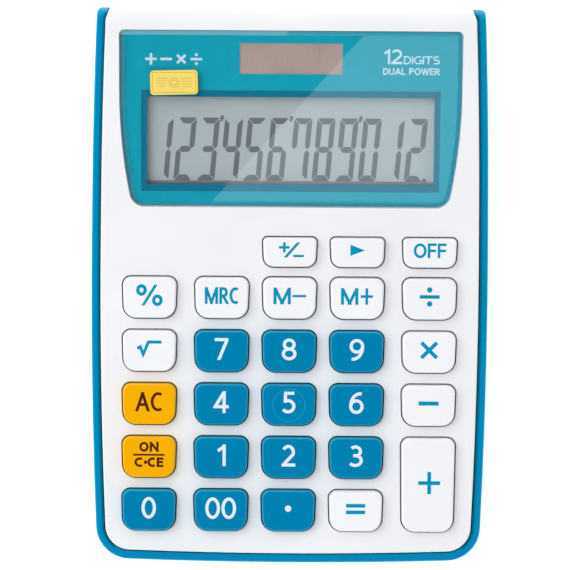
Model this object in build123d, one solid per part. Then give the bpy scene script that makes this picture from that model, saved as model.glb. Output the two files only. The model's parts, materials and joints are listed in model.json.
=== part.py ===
"""Pocket-desk calculator, 12 digits, two power sources: an assembly of separate pieces.

Frame: X to the right, +Y towards the display end, +Z up. The origin is the middle of the footprint,
on the surface that the rubber feet stand on. Lengths are in millimetres.
Two tilted working planes carry nearly everything: the key deck and the steeper display deck.
In both, local x is X, local y runs up the slope and local z is the height above the white surface.
"""

from build123d import *
from math import cos, radians, sin, tan
import os

# ---------------------------------------------------------------- driving dimensions
BODY_WIDTH = 86.0
BODY_LENGTH = 120.0
SIDE_BOW = 1.4  # how far each side bulges over the body's length
FRONT_BOW = 0.8
FRONT_CORNER = 7.4

KEY_TILT = 5.0
DISPLAY_TILT = 12.5
DECK_HEIGHT = 15.65  # white surface above the desk, at Y = 0
FOLD_Y = 14.3  # where the key deck turns up into the display deck
FOLD_RADIUS = 24.0
REAR_ROLL = 3.2  # rounding where the white cover rolls over the rear edge
REAR_CORNER = 1.5  # rounding of the tray's rear corners, seen from above
REAR_PINCH = 0.8  # how far the white cover draws in at each rear corner
PINCH_LENGTH = 2.4
PINCH_SEAM = 0.3

RAIL_WIDTH = 1.75  # the blue rim seen round the white cover
SEAM = 0.25
RAIL_DROP = 0.55  # rim below the white surface
DECK_WALL = 1.8
SKIRT_WALL = 1.5
SKIRT_DEPTH = 4.5
FLOOR_WALL = 1.8
FOOT_PROUD = 1.2
REAR_SPLIT = 12.0  # height of the seam across the rear wall
RIM_LEAST_Z = 9.0  # every edge of the rim lies above this height
COVER_EDGE = 0.35
RAIL_EDGE = 0.5
FLOOR_EDGE = 1.2

COLUMN_X = (-30.3, -14.65, 0.0, 14.65, 30.3)
ROW_PITCH = 11.6
ROW_1_Y = -2.25
ROW_0_Y = 7.75
KEY_WIDTH = 11.75
KEY_LENGTH = 8.95
TOP_KEY_LENGTH = 6.4
KEY_FLARE = 0.3  # each side of a key leans in by this towards the front
KEY_PROUD = 1.9
KEY_FRONT_ROUND = 2.8
KEY_REAR_ROUND = 1.8
TOP_KEY_FRONT_ROUND = 2.1
TOP_KEY_REAR_ROUND = 1.0
KEY_GAP = 0.28
KEY_FLANGE = 0.6
KEY_FLANGE_WALL = 0.8
KEY_STOP_GAP = 0.05
KEY_WALL = 1.1
KEY_EDGE = 0.45
KEY_DRAFT = 4.0
HOME_KEY = "key_5"  # the fingers find this key by its shallow round dish
DISH_RADIUS = 3.5
DISH_DEPTH = 0.15
PLUNGER_RADIUS = 1.5
FLANGE_BOTTOM = -(DECK_WALL + KEY_STOP_GAP + KEY_FLANGE_WALL)
PLUNGER_FOOT = FLANGE_BOTTOM - 0.1

MAT_WALL = 1.0
MAT_TOP = -4.4
DOME_RADIUS = 3.2
DOME_TIP_RADIUS = 2.1
DOME_TOP = PLUNGER_FOOT - 0.05
DOME_MOUTH = 2.7
DOME_SKIN = 0.5
BOARD_TOP = MAT_TOP - MAT_WALL
BOARD_WALL = 1.2
BAY_WIDTH = 75.0
BAY_FRONT_Y = -54.3
BAY_REAR_Y = 11.8
BAY_CORNER = 4.5
BAY_CLEARANCE = 0.4  # round the case posts
CHIP_PLACE = (0.0, -9.0)
CHIP_RADIUS = 5.5
CHIP_HEIGHT = 1.5
RESISTOR_SIZE = (2.0, 1.2, 0.5)
RESISTOR_X = -10.5
RESISTOR_Y = (-12.0, -9.0, -6.0)
CAPACITOR_PLACE = (-15.0, 20.0)
CAPACITOR_RADIUS = 2.5
CAPACITOR_HEIGHT = 5.0
RIBBON_WALL = 0.3
RIBBON_WIDTH = 30.0
RIBBON_LAP = 4.0  # soldered stretch on the display board

CASE_POST_RADIUS = 2.1
CASE_POST_FOOT = 5.3
BOARD_POST_RADIUS = 1.7
ROW_GAP_0_Y = 3.4
COLUMN_GAP_X = (COLUMN_X[3] + COLUMN_X[4]) / 2
INNER_GAP_X = COLUMN_X[3] / 2

LENS_WALL = 1.6
LENS_PROUD = 0.1
LENS_FRONT_Y = 3.2
LENS_REAR_Y = 41.5
LENS_HALF_WIDTH = 36.75
LENS_TAPER_Y = 28.3  # forward of here the lens sides curve in
LENS_SIDE_RADIUS = 117.0
LENS_REAR_CORNER = 1.0
LENS_FRONT_CORNER = 3.2
LENS_CLEARANCE = 0.15
LENS_SEAT = 1.5  # the seat stands this far outside and inside the lens outline
LENS_BEVEL_WIDTH = 0.9
LENS_BEVEL_DEPTH = 0.35
PRINT_WALL = 0.2
PRINT_MARGIN = 0.2
PRINT_GAP = 0.02  # air between the print and the lens
PRINT_BOTTOM = LENS_PROUD - LENS_WALL - PRINT_WALL
LEDGE_BOTTOM = -2.9

LCD_CENTRE_Y = 17.4
LCD_WINDOW = (62.0, 19.2)
LCD_COLLAR = (64.4, 22.1)
LCD_GLASS = (64.4, 22.8)
LCD_GLASS_Y = 16.6
LCD_LEDGE = 2.2  # contact strip left bare along the front edge of the upper glass
LCD_TOP = -3.6
GLASS_WALL = 0.55
FILM_WALL = 0.15
BEZEL_SIZE = (73.0, 26.3)
BEZEL_Y = 17.05
BEZEL_BOTTOM = -6.6
GLASS_CLEARANCE = 0.2
STRIP_SIZE = (58.0, 1.6)

SOLAR_CENTRE_Y = 35.4
SOLAR_WINDOW = (22.1, 6.7)
SOLAR_CELL = (24.6, 8.2)
SOLAR_WALL = 1.1
SOLAR_STRIPS = 4
SCRIBE_WIDTH = 0.12
SCRIBE_DEPTH = 0.1
SEAL_SIZE = (10.2, 5.3)
SEAL_CORNER = 0.8
SEAL_PLACE = (-25.1, 30.3)
SEAL_WALL = 0.12
SEAL_TURN = 1.5

BATTERY_X = 20.0
BATTERY_Y = 46.0
CELL_RADIUS = 5.8
CELL_HEIGHT = 3.05
CELL_STEP = 0.4  # the cap stands this far below the can
CELL_CAP_RADIUS = 4.6
CELL_CLEARANCE = 0.2
DOOR_WIDTH = 16.0
DOOR_FRONT_Y = 36.5
DOOR_WALL = 1.4
DOOR_TONGUE = 1.0
DOOR_TOP = FOOT_PROUD + DOOR_WALL
TONGUE_BOTTOM = FOOT_PROUD + 0.55
TONGUE_TOP = TONGUE_BOTTOM + 0.6
DOOR_CLEARANCE = 0.05
DOOR_GROOVES = 5
GROOVE_PITCH = 1.5
GROOVE_SIZE = (9.0, 0.7, 0.4)
GROOVE_START = 4.0
WELL_SIZE = 15.0
WELL_ROOF = 7.0
WELL_TOP = 8.0
CELL_BOTTOM = DOOR_TOP + 0.05
CONTACT_WIDTH = 3.0
CONTACT_WALL = 0.3
CONTACT_SLOT = 0.5
CONTACT_Y = BATTERY_Y - CELL_RADIUS
CONTACT_TOP = 9.5
CONTACT_DISH = (1.5, 4.0)  # radii of the upper contact, at the cell and at the roof
TAB_X = BATTERY_X + 3.0
TAB_WIDTH = 2.0
TAB_SLOT = (2.2, 0.6)

FOOT_RADIUS = 3.5
FOOT_RECESS = 0.6
FOOT_CLEARANCE = 0.05
FOOT_EDGE = 0.3

CASE_SCREW_RADIUS = 0.9
CASE_HEAD_RADIUS = 1.8
CASE_HEAD_TOP = 3.3
CASE_BOSS_RADIUS = 3.0
CASE_SCREW_BITE = 4.0
CASE_HEAD_HEIGHT = 1.2
SCREW_RADIUS = 0.6
SCREW_BITE = 3.0
SCREW_HEAD_RADIUS = 1.3
SCREW_HEAD_HEIGHT = 0.9
SCREW_HOLE = SCREW_RADIUS + 0.1
SCREW_TIP_ROOM = 0.5  # bore left free beyond a screw's tip
DISPLAY_PEG_RADIUS = 1.6
DISPLAY_PEG_FOOT = -5.6
DISPLAY_SCREW_BITE = 2.0
POST_ROOT = 0.5  # how far a post or a collar is let into what it stands on

WIRE_RADIUS = 0.45
WIRE_BEND = 0.7
WIRE_LEVEL = -9.8  # where the wires run below the display board
SOLAR_WIRE_X = 9.0
SOLAR_WIRE_RUN = 8.5
BATTERY_WIRE_Y = 26.0
BATTERY_WIRE_SHIFT = -5.0
WIRE_LIFT = 1.6
CLEARANCE = 0.1  # usual play between two fitted pieces
FAR = 200.0
STANDING = (Align.CENTER, Align.CENTER, Align.MIN)  # a solid that stands on its own origin
HANGING = (Align.CENTER, Align.CENTER, Align.MAX)
os.makedirs("parts", exist_ok=True)


# ---------------------------------------------------------------- working planes
def tilted_plane(y, z, tilt):
    """Plane through (0, y, z) whose local y climbs towards the rear at this tilt."""
    normal = (0, -sin(radians(tilt)), cos(radians(tilt)))
    return Plane(origin=(0, y, z), x_dir=(1, 0, 0), z_dir=normal)


FOLD_Z = DECK_HEIGHT + FOLD_Y * tan(radians(KEY_TILT))
KEY_DECK = tilted_plane(0, DECK_HEIGHT, KEY_TILT).location
DISPLAY_DECK = tilted_plane(FOLD_Y, FOLD_Z, DISPLAY_TILT).location


def on_deck(frame, x, y, z=0.0):
    """A point of a tilted deck, as a point of the part's frame."""
    return (frame * Location((x, y, z))).position


# ---------------------------------------------------------------- outlines seen from above
def body_outline(inset=0.0, rear_inset=0.0, rear_corner=0.0):
    """The barrel-shaped footprint, drawn in by inset at the sides and front."""
    half, reach = BODY_WIDTH / 2 - inset, BODY_LENGTH / 2
    front, rear = -reach + inset, reach - rear_inset
    end_half = half - SIDE_BOW
    left = ThreePointArc((-end_half, rear), (-half, 0), (-end_half, front + FRONT_BOW))
    nose = ThreePointArc(left @ 1, (0, front), (end_half, front + FRONT_BOW))
    right = ThreePointArc(nose @ 1, (half, 0), (end_half, rear))
    face = make_face([left, nose, right, Line(right @ 1, left @ 0)])
    face = fillet(face.vertices().sort_by(Axis.Y)[:2], FRONT_CORNER - inset)
    if rear_corner:
        face = fillet(face.vertices().sort_by(Axis.Y)[-2:], rear_corner)
    return face


def pinched_outline(inset):
    """Wide shape that draws in at the rear corners, and meets the rear edge this far inside the body."""
    rear, slope = BODY_LENGTH / 2, REAR_PINCH / PINCH_LENGTH
    narrow = BODY_WIDTH / 2 - SIDE_BOW - inset - REAR_PINCH
    wide = narrow + BODY_LENGTH * slope
    corners = [(-narrow, rear), (-wide, -rear), (wide, -rear), (narrow, rear)]
    return make_face(Polyline(*corners, close=True))


def grown(face, distance):
    """The outline moved outwards by this distance, inwards if it is negative."""
    return offset(face, distance) if distance else face


def lens_outline(grow=0.0):
    """Display lens: straight across the rear, sides that sweep in towards the front."""
    drop = LENS_TAPER_Y - LENS_FRONT_Y
    pinch = LENS_SIDE_RADIUS - (LENS_SIDE_RADIUS**2 - drop**2) ** 0.5
    wide, narrow = LENS_HALF_WIDTH, LENS_HALF_WIDTH - pinch
    left = Line((-wide, LENS_REAR_Y), (-wide, LENS_TAPER_Y))
    left_sweep = TangentArc(left @ 1, (-narrow, LENS_FRONT_Y), tangent=(0, -1))
    front_edge = Line(left_sweep @ 1, (narrow, LENS_FRONT_Y))
    right_sweep = TangentArc((wide, LENS_TAPER_Y), front_edge @ 1, tangent=(0, -1))
    right = Line((wide, LENS_TAPER_Y), (wide, LENS_REAR_Y))
    rear_edge = Line(right @ 1, left @ 0)
    face = make_face([left, left_sweep, front_edge, right_sweep, right, rear_edge])
    face = fillet(face.vertices().sort_by(Axis.Y)[:2], LENS_FRONT_CORNER)
    face = fillet(face.vertices().sort_by(Axis.Y)[-2:], LENS_REAR_CORNER)
    return grown(face, grow)


def key_outline(length, grow=0.0):
    """A key seen from above: wider and sharper-cornered at the rear than at the front."""
    wide, narrow, reach = KEY_WIDTH / 2, KEY_WIDTH / 2 - KEY_FLARE, length / 2
    corners = [(-wide, reach), (-narrow, -reach), (narrow, -reach), (wide, reach)]
    face = make_face(Polyline(*corners, close=True))
    short = length < KEY_LENGTH
    front_round = TOP_KEY_FRONT_ROUND if short else KEY_FRONT_ROUND
    rear_round = TOP_KEY_REAR_ROUND if short else KEY_REAR_ROUND
    face = fillet(face.vertices().sort_by(Axis.Y)[:2], front_round)
    face = fillet(face.vertices().sort_by(Axis.Y)[-2:], rear_round)
    return grown(face, grow)


# ---------------------------------------------------------------- where things stand
def row_y(row):
    return ROW_0_Y if row == 0 else ROW_1_Y - (row - 1) * ROW_PITCH


TALL_KEY_LENGTH = KEY_LENGTH + ROW_PITCH
KEYS = {
    "key_plus_minus": (2, 0),
    "key_backspace": (3, 0),
    "key_off": (4, 0),
    "key_percent": (0, 1),
    "key_memory_recall": (1, 1),
    "key_memory_minus": (2, 1),
    "key_memory_plus": (3, 1),
    "key_divide": (4, 1),
    "key_square_root": (0, 2),
    "key_7": (1, 2),
    "key_8": (2, 2),
    "key_9": (3, 2),
    "key_multiply": (4, 2),
    "key_all_clear": (0, 3),
    "key_4": (1, 3),
    "key_5": (2, 3),
    "key_6": (3, 3),
    "key_minus": (4, 3),
    "key_on_clear": (0, 4),
    "key_1": (1, 4),
    "key_2": (2, 4),
    "key_3": (3, 4),
    "key_plus": (4, 4),
    "key_0": (0, 5),
    "key_00": (1, 5),
    "key_point": (2, 5),
    "key_equals": (3, 5),
}


def key_size(name):
    """Length of a key and the local y of its centre."""
    row = KEYS[name][1]
    if name == "key_plus":
        return TALL_KEY_LENGTH, (row_y(4) + row_y(5)) / 2
    return (TOP_KEY_LENGTH if row == 0 else KEY_LENGTH), row_y(row)


def key_place(name):
    column = KEYS[name][0]
    return Location((COLUMN_X[column], key_size(name)[1], 0))


def plunger_places(name):
    """Where plungers stand along a key, from its centre: the tall key has two."""
    if name == "key_plus":
        return [-ROW_PITCH / 2, ROW_PITCH / 2]
    return [0]


def switch_places():
    """Centres of the rubber domes on the key deck, one under each plunger."""
    spots = []
    for name, (column, row) in KEYS.items():
        centre = key_size(name)[1]
        spots += [(COLUMN_X[column], centre + y) for y in plunger_places(name)]
    return spots


def mirrored(*places):
    """Each place and its twin on the other side of the middle plane."""
    return [(side * x, y) for x, y in places for side in (-1, 1)]


def row_gap_y(row):
    """Middle of the gap in front of a full-length row of keys."""
    return row_y(row) - ROW_PITCH / 2


CASE_SCREWS = mirrored((COLUMN_GAP_X, row_gap_y(3)), (COLUMN_GAP_X, ROW_GAP_0_Y), (37.0, 48.0))
BOARD_SCREWS = mirrored((INNER_GAP_X, row_gap_y(4)), (COLUMN_GAP_X, row_gap_y(2)), (INNER_GAP_X, ROW_GAP_0_Y))
DISPLAY_SCREWS = mirrored((34.6, 7.5), (34.6, 28.0))
FEET = mirrored((34.0, -50.0), (35.5, 54.5))


def column_between(x, y, bottom, top, radius):
    """Upright round column in the part's frame."""
    return Location((x, y, bottom)) * Cylinder(radius, top - bottom, align=STANDING)


def slab(x_size, y_front, y_rear, bottom, top, centre_x=BATTERY_X):
    """Rectangular block given by its front and rear ends."""
    block = Box(x_size, y_rear - y_front, top - bottom, align=(Align.CENTER, Align.MIN, Align.MIN))
    return Location((centre_x, y_front, bottom)) * block


def peg(frame, x, y, bottom, top, radius):
    """Round peg square to a deck, between two local heights."""
    return frame * column_between(x, y, bottom, top, radius)


def plate(frame, size, centre_y, bottom, top, centre_x=0.0):
    """Rectangular plate lying in a deck, between two local heights."""
    block = Box(size[0], size[1], top - bottom, align=STANDING)
    return frame * Location((centre_x, centre_y, bottom)) * block


def prism_on(frame, face, bottom, top):
    """A flat outline raised between two local heights of a deck."""
    return frame * Location((0, 0, bottom)) * extrude(face, top - bottom)


# ---------------------------------------------------------------- the case
def envelope(depth, rear_inset=0.0):
    """Prism under the white surface lowered by depth, rolled over at the rear edge."""
    rear = BODY_LENGTH / 2 - rear_inset
    key_slope, display_slope = tan(radians(KEY_TILT)), tan(radians(DISPLAY_TILT))
    key_level = FOLD_Z - depth / cos(radians(KEY_TILT))
    display_level = FOLD_Z - depth / cos(radians(DISPLAY_TILT))
    shift = (key_level - display_level) / (display_slope - key_slope)
    fold = (FOLD_Y + shift, key_level + key_slope * shift)
    front = (-FAR, key_level - key_slope * (FAR + FOLD_Y))
    rear_top = (rear, display_level + display_slope * (rear - FOLD_Y))
    profile = make_face(Polyline(fold, rear_top, (rear, -FAR), (-FAR, -FAR), front, close=True))
    profile = fillet(profile.vertices().sort_by_distance(Vector(*fold))[0], FOLD_RADIUS + depth)
    profile = fillet(profile.vertices().sort_by_distance(Vector(*rear_top))[0], REAR_ROLL - rear_inset)
    return extrude(Plane.YZ * profile, FAR / 2, both=True)


def upright(face, bottom=0.0, top=60.0):
    """An outline seen from above, raised between two heights above the desk."""
    return Location((0, 0, bottom)) * extrude(face, top - bottom)


def cover_outline(inset=0.0, rear_inset=0.0):
    return body_outline(RAIL_WIDTH + SEAM + inset, rear_inset)


def soften_rim(solid, radius):
    """Round the long edge where the top surface meets the sides, all the way round."""
    rim = ShapeList()
    for edge in solid.edges():
        size = edge.bounding_box().size
        across = max(size.Y, size.Z) < 0.01
        vertical = max(size.X, size.Y) < 0.01
        if edge.center().Z > RIM_LEAST_Z and not across and not vertical:
            rim.append(edge)
    return fillet(rim, radius)


def key_hole(name):
    length = key_size(name)[0]
    slot = extrude(key_outline(length, KEY_GAP), DECK_WALL, both=True)
    return KEY_DECK * key_place(name) * Location((0, 0, -DECK_WALL / 2)) * slot


def case_post_place(index):
    """Where a case screw stands on the desk plane: the front four follow the key deck."""
    x, y = CASE_SCREWS[index]
    return (x, y * cos(radians(KEY_TILT))) if index < 4 else (x, y)


def top_shell():
    """White cover: deck with key holes, lens seat, skirt, rear wall and screw posts."""
    shell = upright(cover_outline()) & envelope(0)
    shell = soften_rim(shell, COVER_EDGE) & upright(pinched_outline(RAIL_WIDTH + SEAM))
    inner = upright(cover_outline(SKIRT_WALL, DECK_WALL)) & envelope(DECK_WALL, DECK_WALL)
    shell -= inner
    all_but_rear_wall = Location((0, -DECK_WALL / 2, 0)) * Box(FAR, BODY_LENGTH - DECK_WALL, FAR)
    shell -= envelope(SKIRT_DEPTH) & all_but_rear_wall
    shell -= slab(FAR, BODY_LENGTH / 2 - REAR_ROLL, FAR, 0, REAR_SPLIT, 0)
    shell += prism_on(DISPLAY_DECK, lens_outline(LENS_SEAT), LEDGE_BOTTOM, -DECK_WALL / 2)
    for index in range(len(CASE_SCREWS)):
        x, y = case_post_place(index)
        post = column_between(x, y, CASE_POST_FOOT, FAR, CASE_POST_RADIUS)
        shell += post & envelope(DECK_WALL / 2, DECK_WALL / 2)
    for x, y in BOARD_SCREWS:
        shell += peg(KEY_DECK, x, y, BOARD_TOP, -DECK_WALL / 2, BOARD_POST_RADIUS)
    for x, y in DISPLAY_SCREWS:
        shell += peg(DISPLAY_DECK, x, y, DISPLAY_PEG_FOOT, LEDGE_BOTTOM + POST_ROOT, DISPLAY_PEG_RADIUS)
    shell -= prism_on(DISPLAY_DECK, lens_outline(LENS_CLEARANCE), PRINT_BOTTOM, DECK_WALL)
    shell -= prism_on(DISPLAY_DECK, lens_outline(-LENS_SEAT), LEDGE_BOTTOM, 0)
    for name in KEYS:
        shell -= key_hole(name)
    for index in range(len(CASE_SCREWS)):
        x, y = case_post_place(index)
        shell -= column_between(x, y, CASE_POST_FOOT, CASE_POST_FOOT + CASE_SCREW_BITE, CASE_SCREW_RADIUS)
    for x, y in BOARD_SCREWS:
        shell -= peg(KEY_DECK, x, y, BOARD_TOP, BOARD_TOP + SCREW_BITE, SCREW_RADIUS)
    bore_end = DISPLAY_PEG_FOOT + DISPLAY_SCREW_BITE
    for x, y in DISPLAY_SCREWS:
        shell -= peg(DISPLAY_DECK, x, y, DISPLAY_PEG_FOOT, bore_end, SCREW_RADIUS)
    return shell


def boss(x, y, radius, top):
    return column_between(x, y, FOOT_PROUD, top, radius)


def battery_well():
    """Square block that the round well of the cell is sunk into."""
    block = Box(WELL_SIZE, WELL_SIZE, WELL_TOP - FOOT_PROUD, align=STANDING)
    return Location((BATTERY_X, BATTERY_Y, FOOT_PROUD)) * block


def door_solid(clearance=0.0):
    """Battery door with its two side tongues, grown on every guided face by the clearance."""
    panel = slab(DOOR_WIDTH + 2 * clearance, DOOR_FRONT_Y - clearance, FAR, FOOT_PROUD, DOOR_TOP + clearance)
    tongue_width = DOOR_WIDTH + 2 * (DOOR_TONGUE + clearance)
    tongues = slab(
        tongue_width, DOOR_FRONT_Y - clearance, FAR, TONGUE_BOTTOM - clearance, TONGUE_TOP + clearance
    )
    return panel + tongues


def bottom_shell():
    """Blue tray: floor, wall that shows as the rim, bosses, battery well and foot recesses."""
    shell = upright(body_outline(), FOOT_PROUD) & envelope(RAIL_DROP)
    shell = soften_rim(shell, RAIL_EDGE) & upright(body_outline(rear_corner=REAR_CORNER))
    floor_edges = shell.faces().sort_by(Axis.Z)[0].edges()
    shell = fillet(floor_edges.filter_by(Axis.X, reverse=True), FLOOR_EDGE)
    opening = pinched_outline(RAIL_WIDTH + SEAM - PINCH_SEAM)
    shell -= upright(body_outline(RAIL_WIDTH, FLOOR_WALL) & opening, FOOT_PROUD + FLOOR_WALL)
    behind = slab(FAR, BODY_LENGTH / 2 - FLOOR_WALL - CLEARANCE, FAR, 0, FAR, 0)
    shell -= upright(body_outline(RAIL_WIDTH) & opening, REAR_SPLIT - SEAM) & behind
    for index in range(len(CASE_SCREWS)):
        x, y = case_post_place(index)
        shell += boss(x, y, CASE_BOSS_RADIUS, CASE_POST_FOOT) & upright(body_outline(RAIL_WIDTH / 2))
    shell += battery_well()
    for index in range(len(CASE_SCREWS)):
        x, y = case_post_place(index)
        shell -= column_between(x, y, 0, CASE_POST_FOOT, CASE_SCREW_RADIUS + CLEARANCE)
        shell -= column_between(x, y, 0, CASE_HEAD_TOP, CASE_HEAD_RADIUS + 3 * CLEARANCE)
    for x, y in FEET:
        shell -= column_between(x, y, 0, FOOT_PROUD + FOOT_RECESS, FOOT_RADIUS + FOOT_CLEARANCE)
    shell -= door_solid(DOOR_CLEARANCE)
    shell -= column_between(BATTERY_X, BATTERY_Y, 0, WELL_ROOF, CELL_RADIUS + CELL_CLEARANCE)
    slot_front = CONTACT_Y - CELL_CLEARANCE - CONTACT_SLOT
    slot_width = CONTACT_WIDTH + 2 * CELL_CLEARANCE
    shell -= slab(slot_width, slot_front, CONTACT_Y + CONTACT_WALL, FOOT_PROUD, WELL_TOP)
    tab_half = TAB_SLOT[1] / 2
    shell -= slab(TAB_SLOT[0], BATTERY_Y - tab_half, BATTERY_Y + tab_half, WELL_ROOF, WELL_TOP, TAB_X)
    return shell


def battery_door():
    """Sliding cover under the cell, with thumb grooves; its rear end is flush with the tray."""
    door = door_solid() & slab(FAR, 0, BODY_LENGTH / 2, 0, FAR, 0)
    for index in range(DOOR_GROOVES):
        groove_y = DOOR_FRONT_Y + GROOVE_START + index * GROOVE_PITCH
        door -= slab(GROOVE_SIZE[0], groove_y, groove_y + GROOVE_SIZE[1], 0, FOOT_PROUD + GROOVE_SIZE[2])
    return door


def key(name):
    """Hollow key cap with a stop flange and a plunger, tapering above the white surface."""
    length = key_size(name)[0]
    outline = key_outline(length)
    above = extrude(outline, KEY_PROUD, taper=KEY_DRAFT)
    above = fillet(above.faces().sort_by(Axis.Z)[-1].edges(), KEY_EDGE)
    foot = Location((0, 0, FLANGE_BOTTOM))
    below = foot * extrude(outline, -FLANGE_BOTTOM)
    flange = foot * extrude(key_outline(length, KEY_FLANGE), KEY_FLANGE_WALL)
    hollow = foot * extrude(key_outline(length, -KEY_WALL), KEY_PROUD - FLANGE_BOTTOM - KEY_WALL)
    cap = above + below + flange - hollow
    for y in plunger_places(name):
        cap += column_between(0, y, PLUNGER_FOOT, KEY_PROUD - KEY_WALL / 2, PLUNGER_RADIUS)
    if name == HOME_KEY:
        ball_radius = (DISH_RADIUS**2 + DISH_DEPTH**2) / (2 * DISH_DEPTH)
        cap -= Location((0, 0, KEY_PROUD - DISH_DEPTH + ball_radius)) * Sphere(ball_radius)
    return KEY_DECK * key_place(name) * cap


# ---------------------------------------------------------------- the display end
def display_lens():
    """Clear flat window, let into the white cover, with a wide shallow bevel round its face."""
    lens = extrude(lens_outline(), LENS_WALL)
    top = lens.faces().sort_by(Axis.Z)[-1]
    lens = chamfer(top.edges(), LENS_BEVEL_WIDTH, LENS_BEVEL_DEPTH, reference=top)
    return DISPLAY_DECK * Location((0, 0, LENS_PROUD - LENS_WALL)) * lens


def display_print():
    """Coloured film under the lens, cut out over the display and the solar cell."""
    top = PRINT_BOTTOM + PRINT_WALL - PRINT_GAP
    film = prism_on(DISPLAY_DECK, lens_outline(-PRINT_MARGIN), PRINT_BOTTOM, top)
    film -= plate(DISPLAY_DECK, LCD_COLLAR, LCD_CENTRE_Y, PRINT_BOTTOM, 0)
    film -= plate(DISPLAY_DECK, SOLAR_WINDOW, SOLAR_CENTRE_Y, PRINT_BOTTOM, 0)
    return film


def foil_seal():
    """Small rounded foil sticker on the lens."""
    seal = extrude(RectangleRounded(*SEAL_SIZE, SEAL_CORNER), SEAL_WALL)
    return DISPLAY_DECK * Location((*SEAL_PLACE, LENS_PROUD), (0, 0, SEAL_TURN)) * seal


def display_bezel():
    """Holder behind the lens: the dark collar that frames the display, and its pocket."""
    bezel = plate(DISPLAY_DECK, BEZEL_SIZE, BEZEL_Y, BEZEL_BOTTOM, LEDGE_BOTTOM)
    bezel += plate(DISPLAY_DECK, LCD_COLLAR, LCD_CENTRE_Y, LEDGE_BOTTOM, PRINT_BOTTOM)
    bezel -= plate(DISPLAY_DECK, LCD_WINDOW, LCD_CENTRE_Y, BEZEL_BOTTOM, 0)
    pocket = (LCD_GLASS[0] + GLASS_CLEARANCE, LCD_GLASS[1] + GLASS_CLEARANCE)
    bezel -= plate(DISPLAY_DECK, pocket, LCD_GLASS_Y, BEZEL_BOTTOM, LCD_TOP)
    for x, y in DISPLAY_SCREWS:
        bezel -= peg(DISPLAY_DECK, x, y, DISPLAY_PEG_FOOT, 0, DISPLAY_PEG_RADIUS + CLEARANCE / 2)
        bezel -= peg(DISPLAY_DECK, x, y, BEZEL_BOTTOM, 0, SCREW_HOLE)
    return bezel


def lcd_layer(depth, wall, bare_front=0.0):
    """One sheet of the display stack, this far under its top."""
    size = (LCD_GLASS[0], LCD_GLASS[1] - bare_front)
    top = LCD_TOP - depth
    return plate(DISPLAY_DECK, size, LCD_GLASS_Y + bare_front / 2, top - wall, top)


def lcd_front_film():
    return lcd_layer(0, FILM_WALL)


def lcd_front_glass():
    return lcd_layer(FILM_WALL, GLASS_WALL)


def lcd_rear_glass():
    return lcd_layer(FILM_WALL + GLASS_WALL, GLASS_WALL, LCD_LEDGE)


def lcd_reflector():
    return lcd_layer(FILM_WALL + 2 * GLASS_WALL, FILM_WALL, LCD_LEDGE)


def contact_strip():
    """Rubber strip that joins the bare edge of the upper glass to the display board."""
    top = LCD_TOP - FILM_WALL - GLASS_WALL
    front = LCD_GLASS_Y - LCD_GLASS[1] / 2
    return plate(DISPLAY_DECK, STRIP_SIZE, front + LCD_LEDGE / 2, BEZEL_BOTTOM, top)


def solar_cell():
    """Amorphous cell: four strips on one dark plate, glued under its window."""
    cell = plate(DISPLAY_DECK, SOLAR_CELL, SOLAR_CENTRE_Y, PRINT_BOTTOM - SOLAR_WALL, PRINT_BOTTOM)
    scribe = (SCRIBE_WIDTH, SOLAR_CELL[1])
    for index in range(1, SOLAR_STRIPS):
        x = (index / SOLAR_STRIPS - 0.5) * SOLAR_CELL[0]
        cell -= plate(DISPLAY_DECK, scribe, SOLAR_CENTRE_Y, PRINT_BOTTOM - SCRIBE_DEPTH, 0, x)
    return cell


def display_board():
    board = plate(DISPLAY_DECK, BEZEL_SIZE, BEZEL_Y, BEZEL_BOTTOM - BOARD_WALL, BEZEL_BOTTOM)
    for x, y in DISPLAY_SCREWS:
        board -= peg(DISPLAY_DECK, x, y, BEZEL_BOTTOM - BOARD_WALL, BEZEL_BOTTOM, SCREW_HOLE)
    return board


# ---------------------------------------------------------------- under the keys
def key_bay(rear_y, bottom, top):
    """Plate that fills the space under the key deck, with clearance round every post."""
    face = Rectangle(BAY_WIDTH, rear_y - BAY_FRONT_Y)
    front = face.vertices().sort_by(Axis.Y)[:2]
    face = Location((0, (rear_y + BAY_FRONT_Y) / 2, 0)) * fillet(front, BAY_CORNER)
    bay = prism_on(KEY_DECK, face, bottom, top)
    for index in range(4):
        x, y = case_post_place(index)
        bay -= column_between(x, y, 0, FAR, CASE_POST_RADIUS + BAY_CLEARANCE)
    return bay


def keypad_mat():
    """Rubber sheet between the deck's posts and the board, open under every dome."""
    mat = key_bay(BAY_REAR_Y, BOARD_TOP, MAT_TOP)
    for x, y in switch_places():
        mat -= peg(KEY_DECK, x, y, BOARD_TOP, MAT_TOP, DOME_MOUTH)
    for x, y in BOARD_SCREWS:
        mat -= peg(KEY_DECK, x, y, BOARD_TOP, MAT_TOP, BOARD_POST_RADIUS + 2 * CLEARANCE)
    return mat


def keypad_domes():
    """Hollow rubber domes of the mat, one under every plunger."""
    height = DOME_TOP - MAT_TOP
    dome = Cone(DOME_RADIUS, DOME_TIP_RADIUS, height, align=STANDING)
    dome -= Cone(DOME_MOUTH, DOME_TIP_RADIUS - DOME_SKIN, height - DOME_SKIN, align=STANDING)
    return Compound([KEY_DECK * Location((x, y, MAT_TOP)) * dome for x, y in switch_places()])


def main_board():
    board = key_bay(BAY_REAR_Y, BOARD_TOP - BOARD_WALL, BOARD_TOP)
    for x, y in BOARD_SCREWS:
        board -= peg(KEY_DECK, x, y, BOARD_TOP - BOARD_WALL, BOARD_TOP, SCREW_HOLE)
    return board


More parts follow.
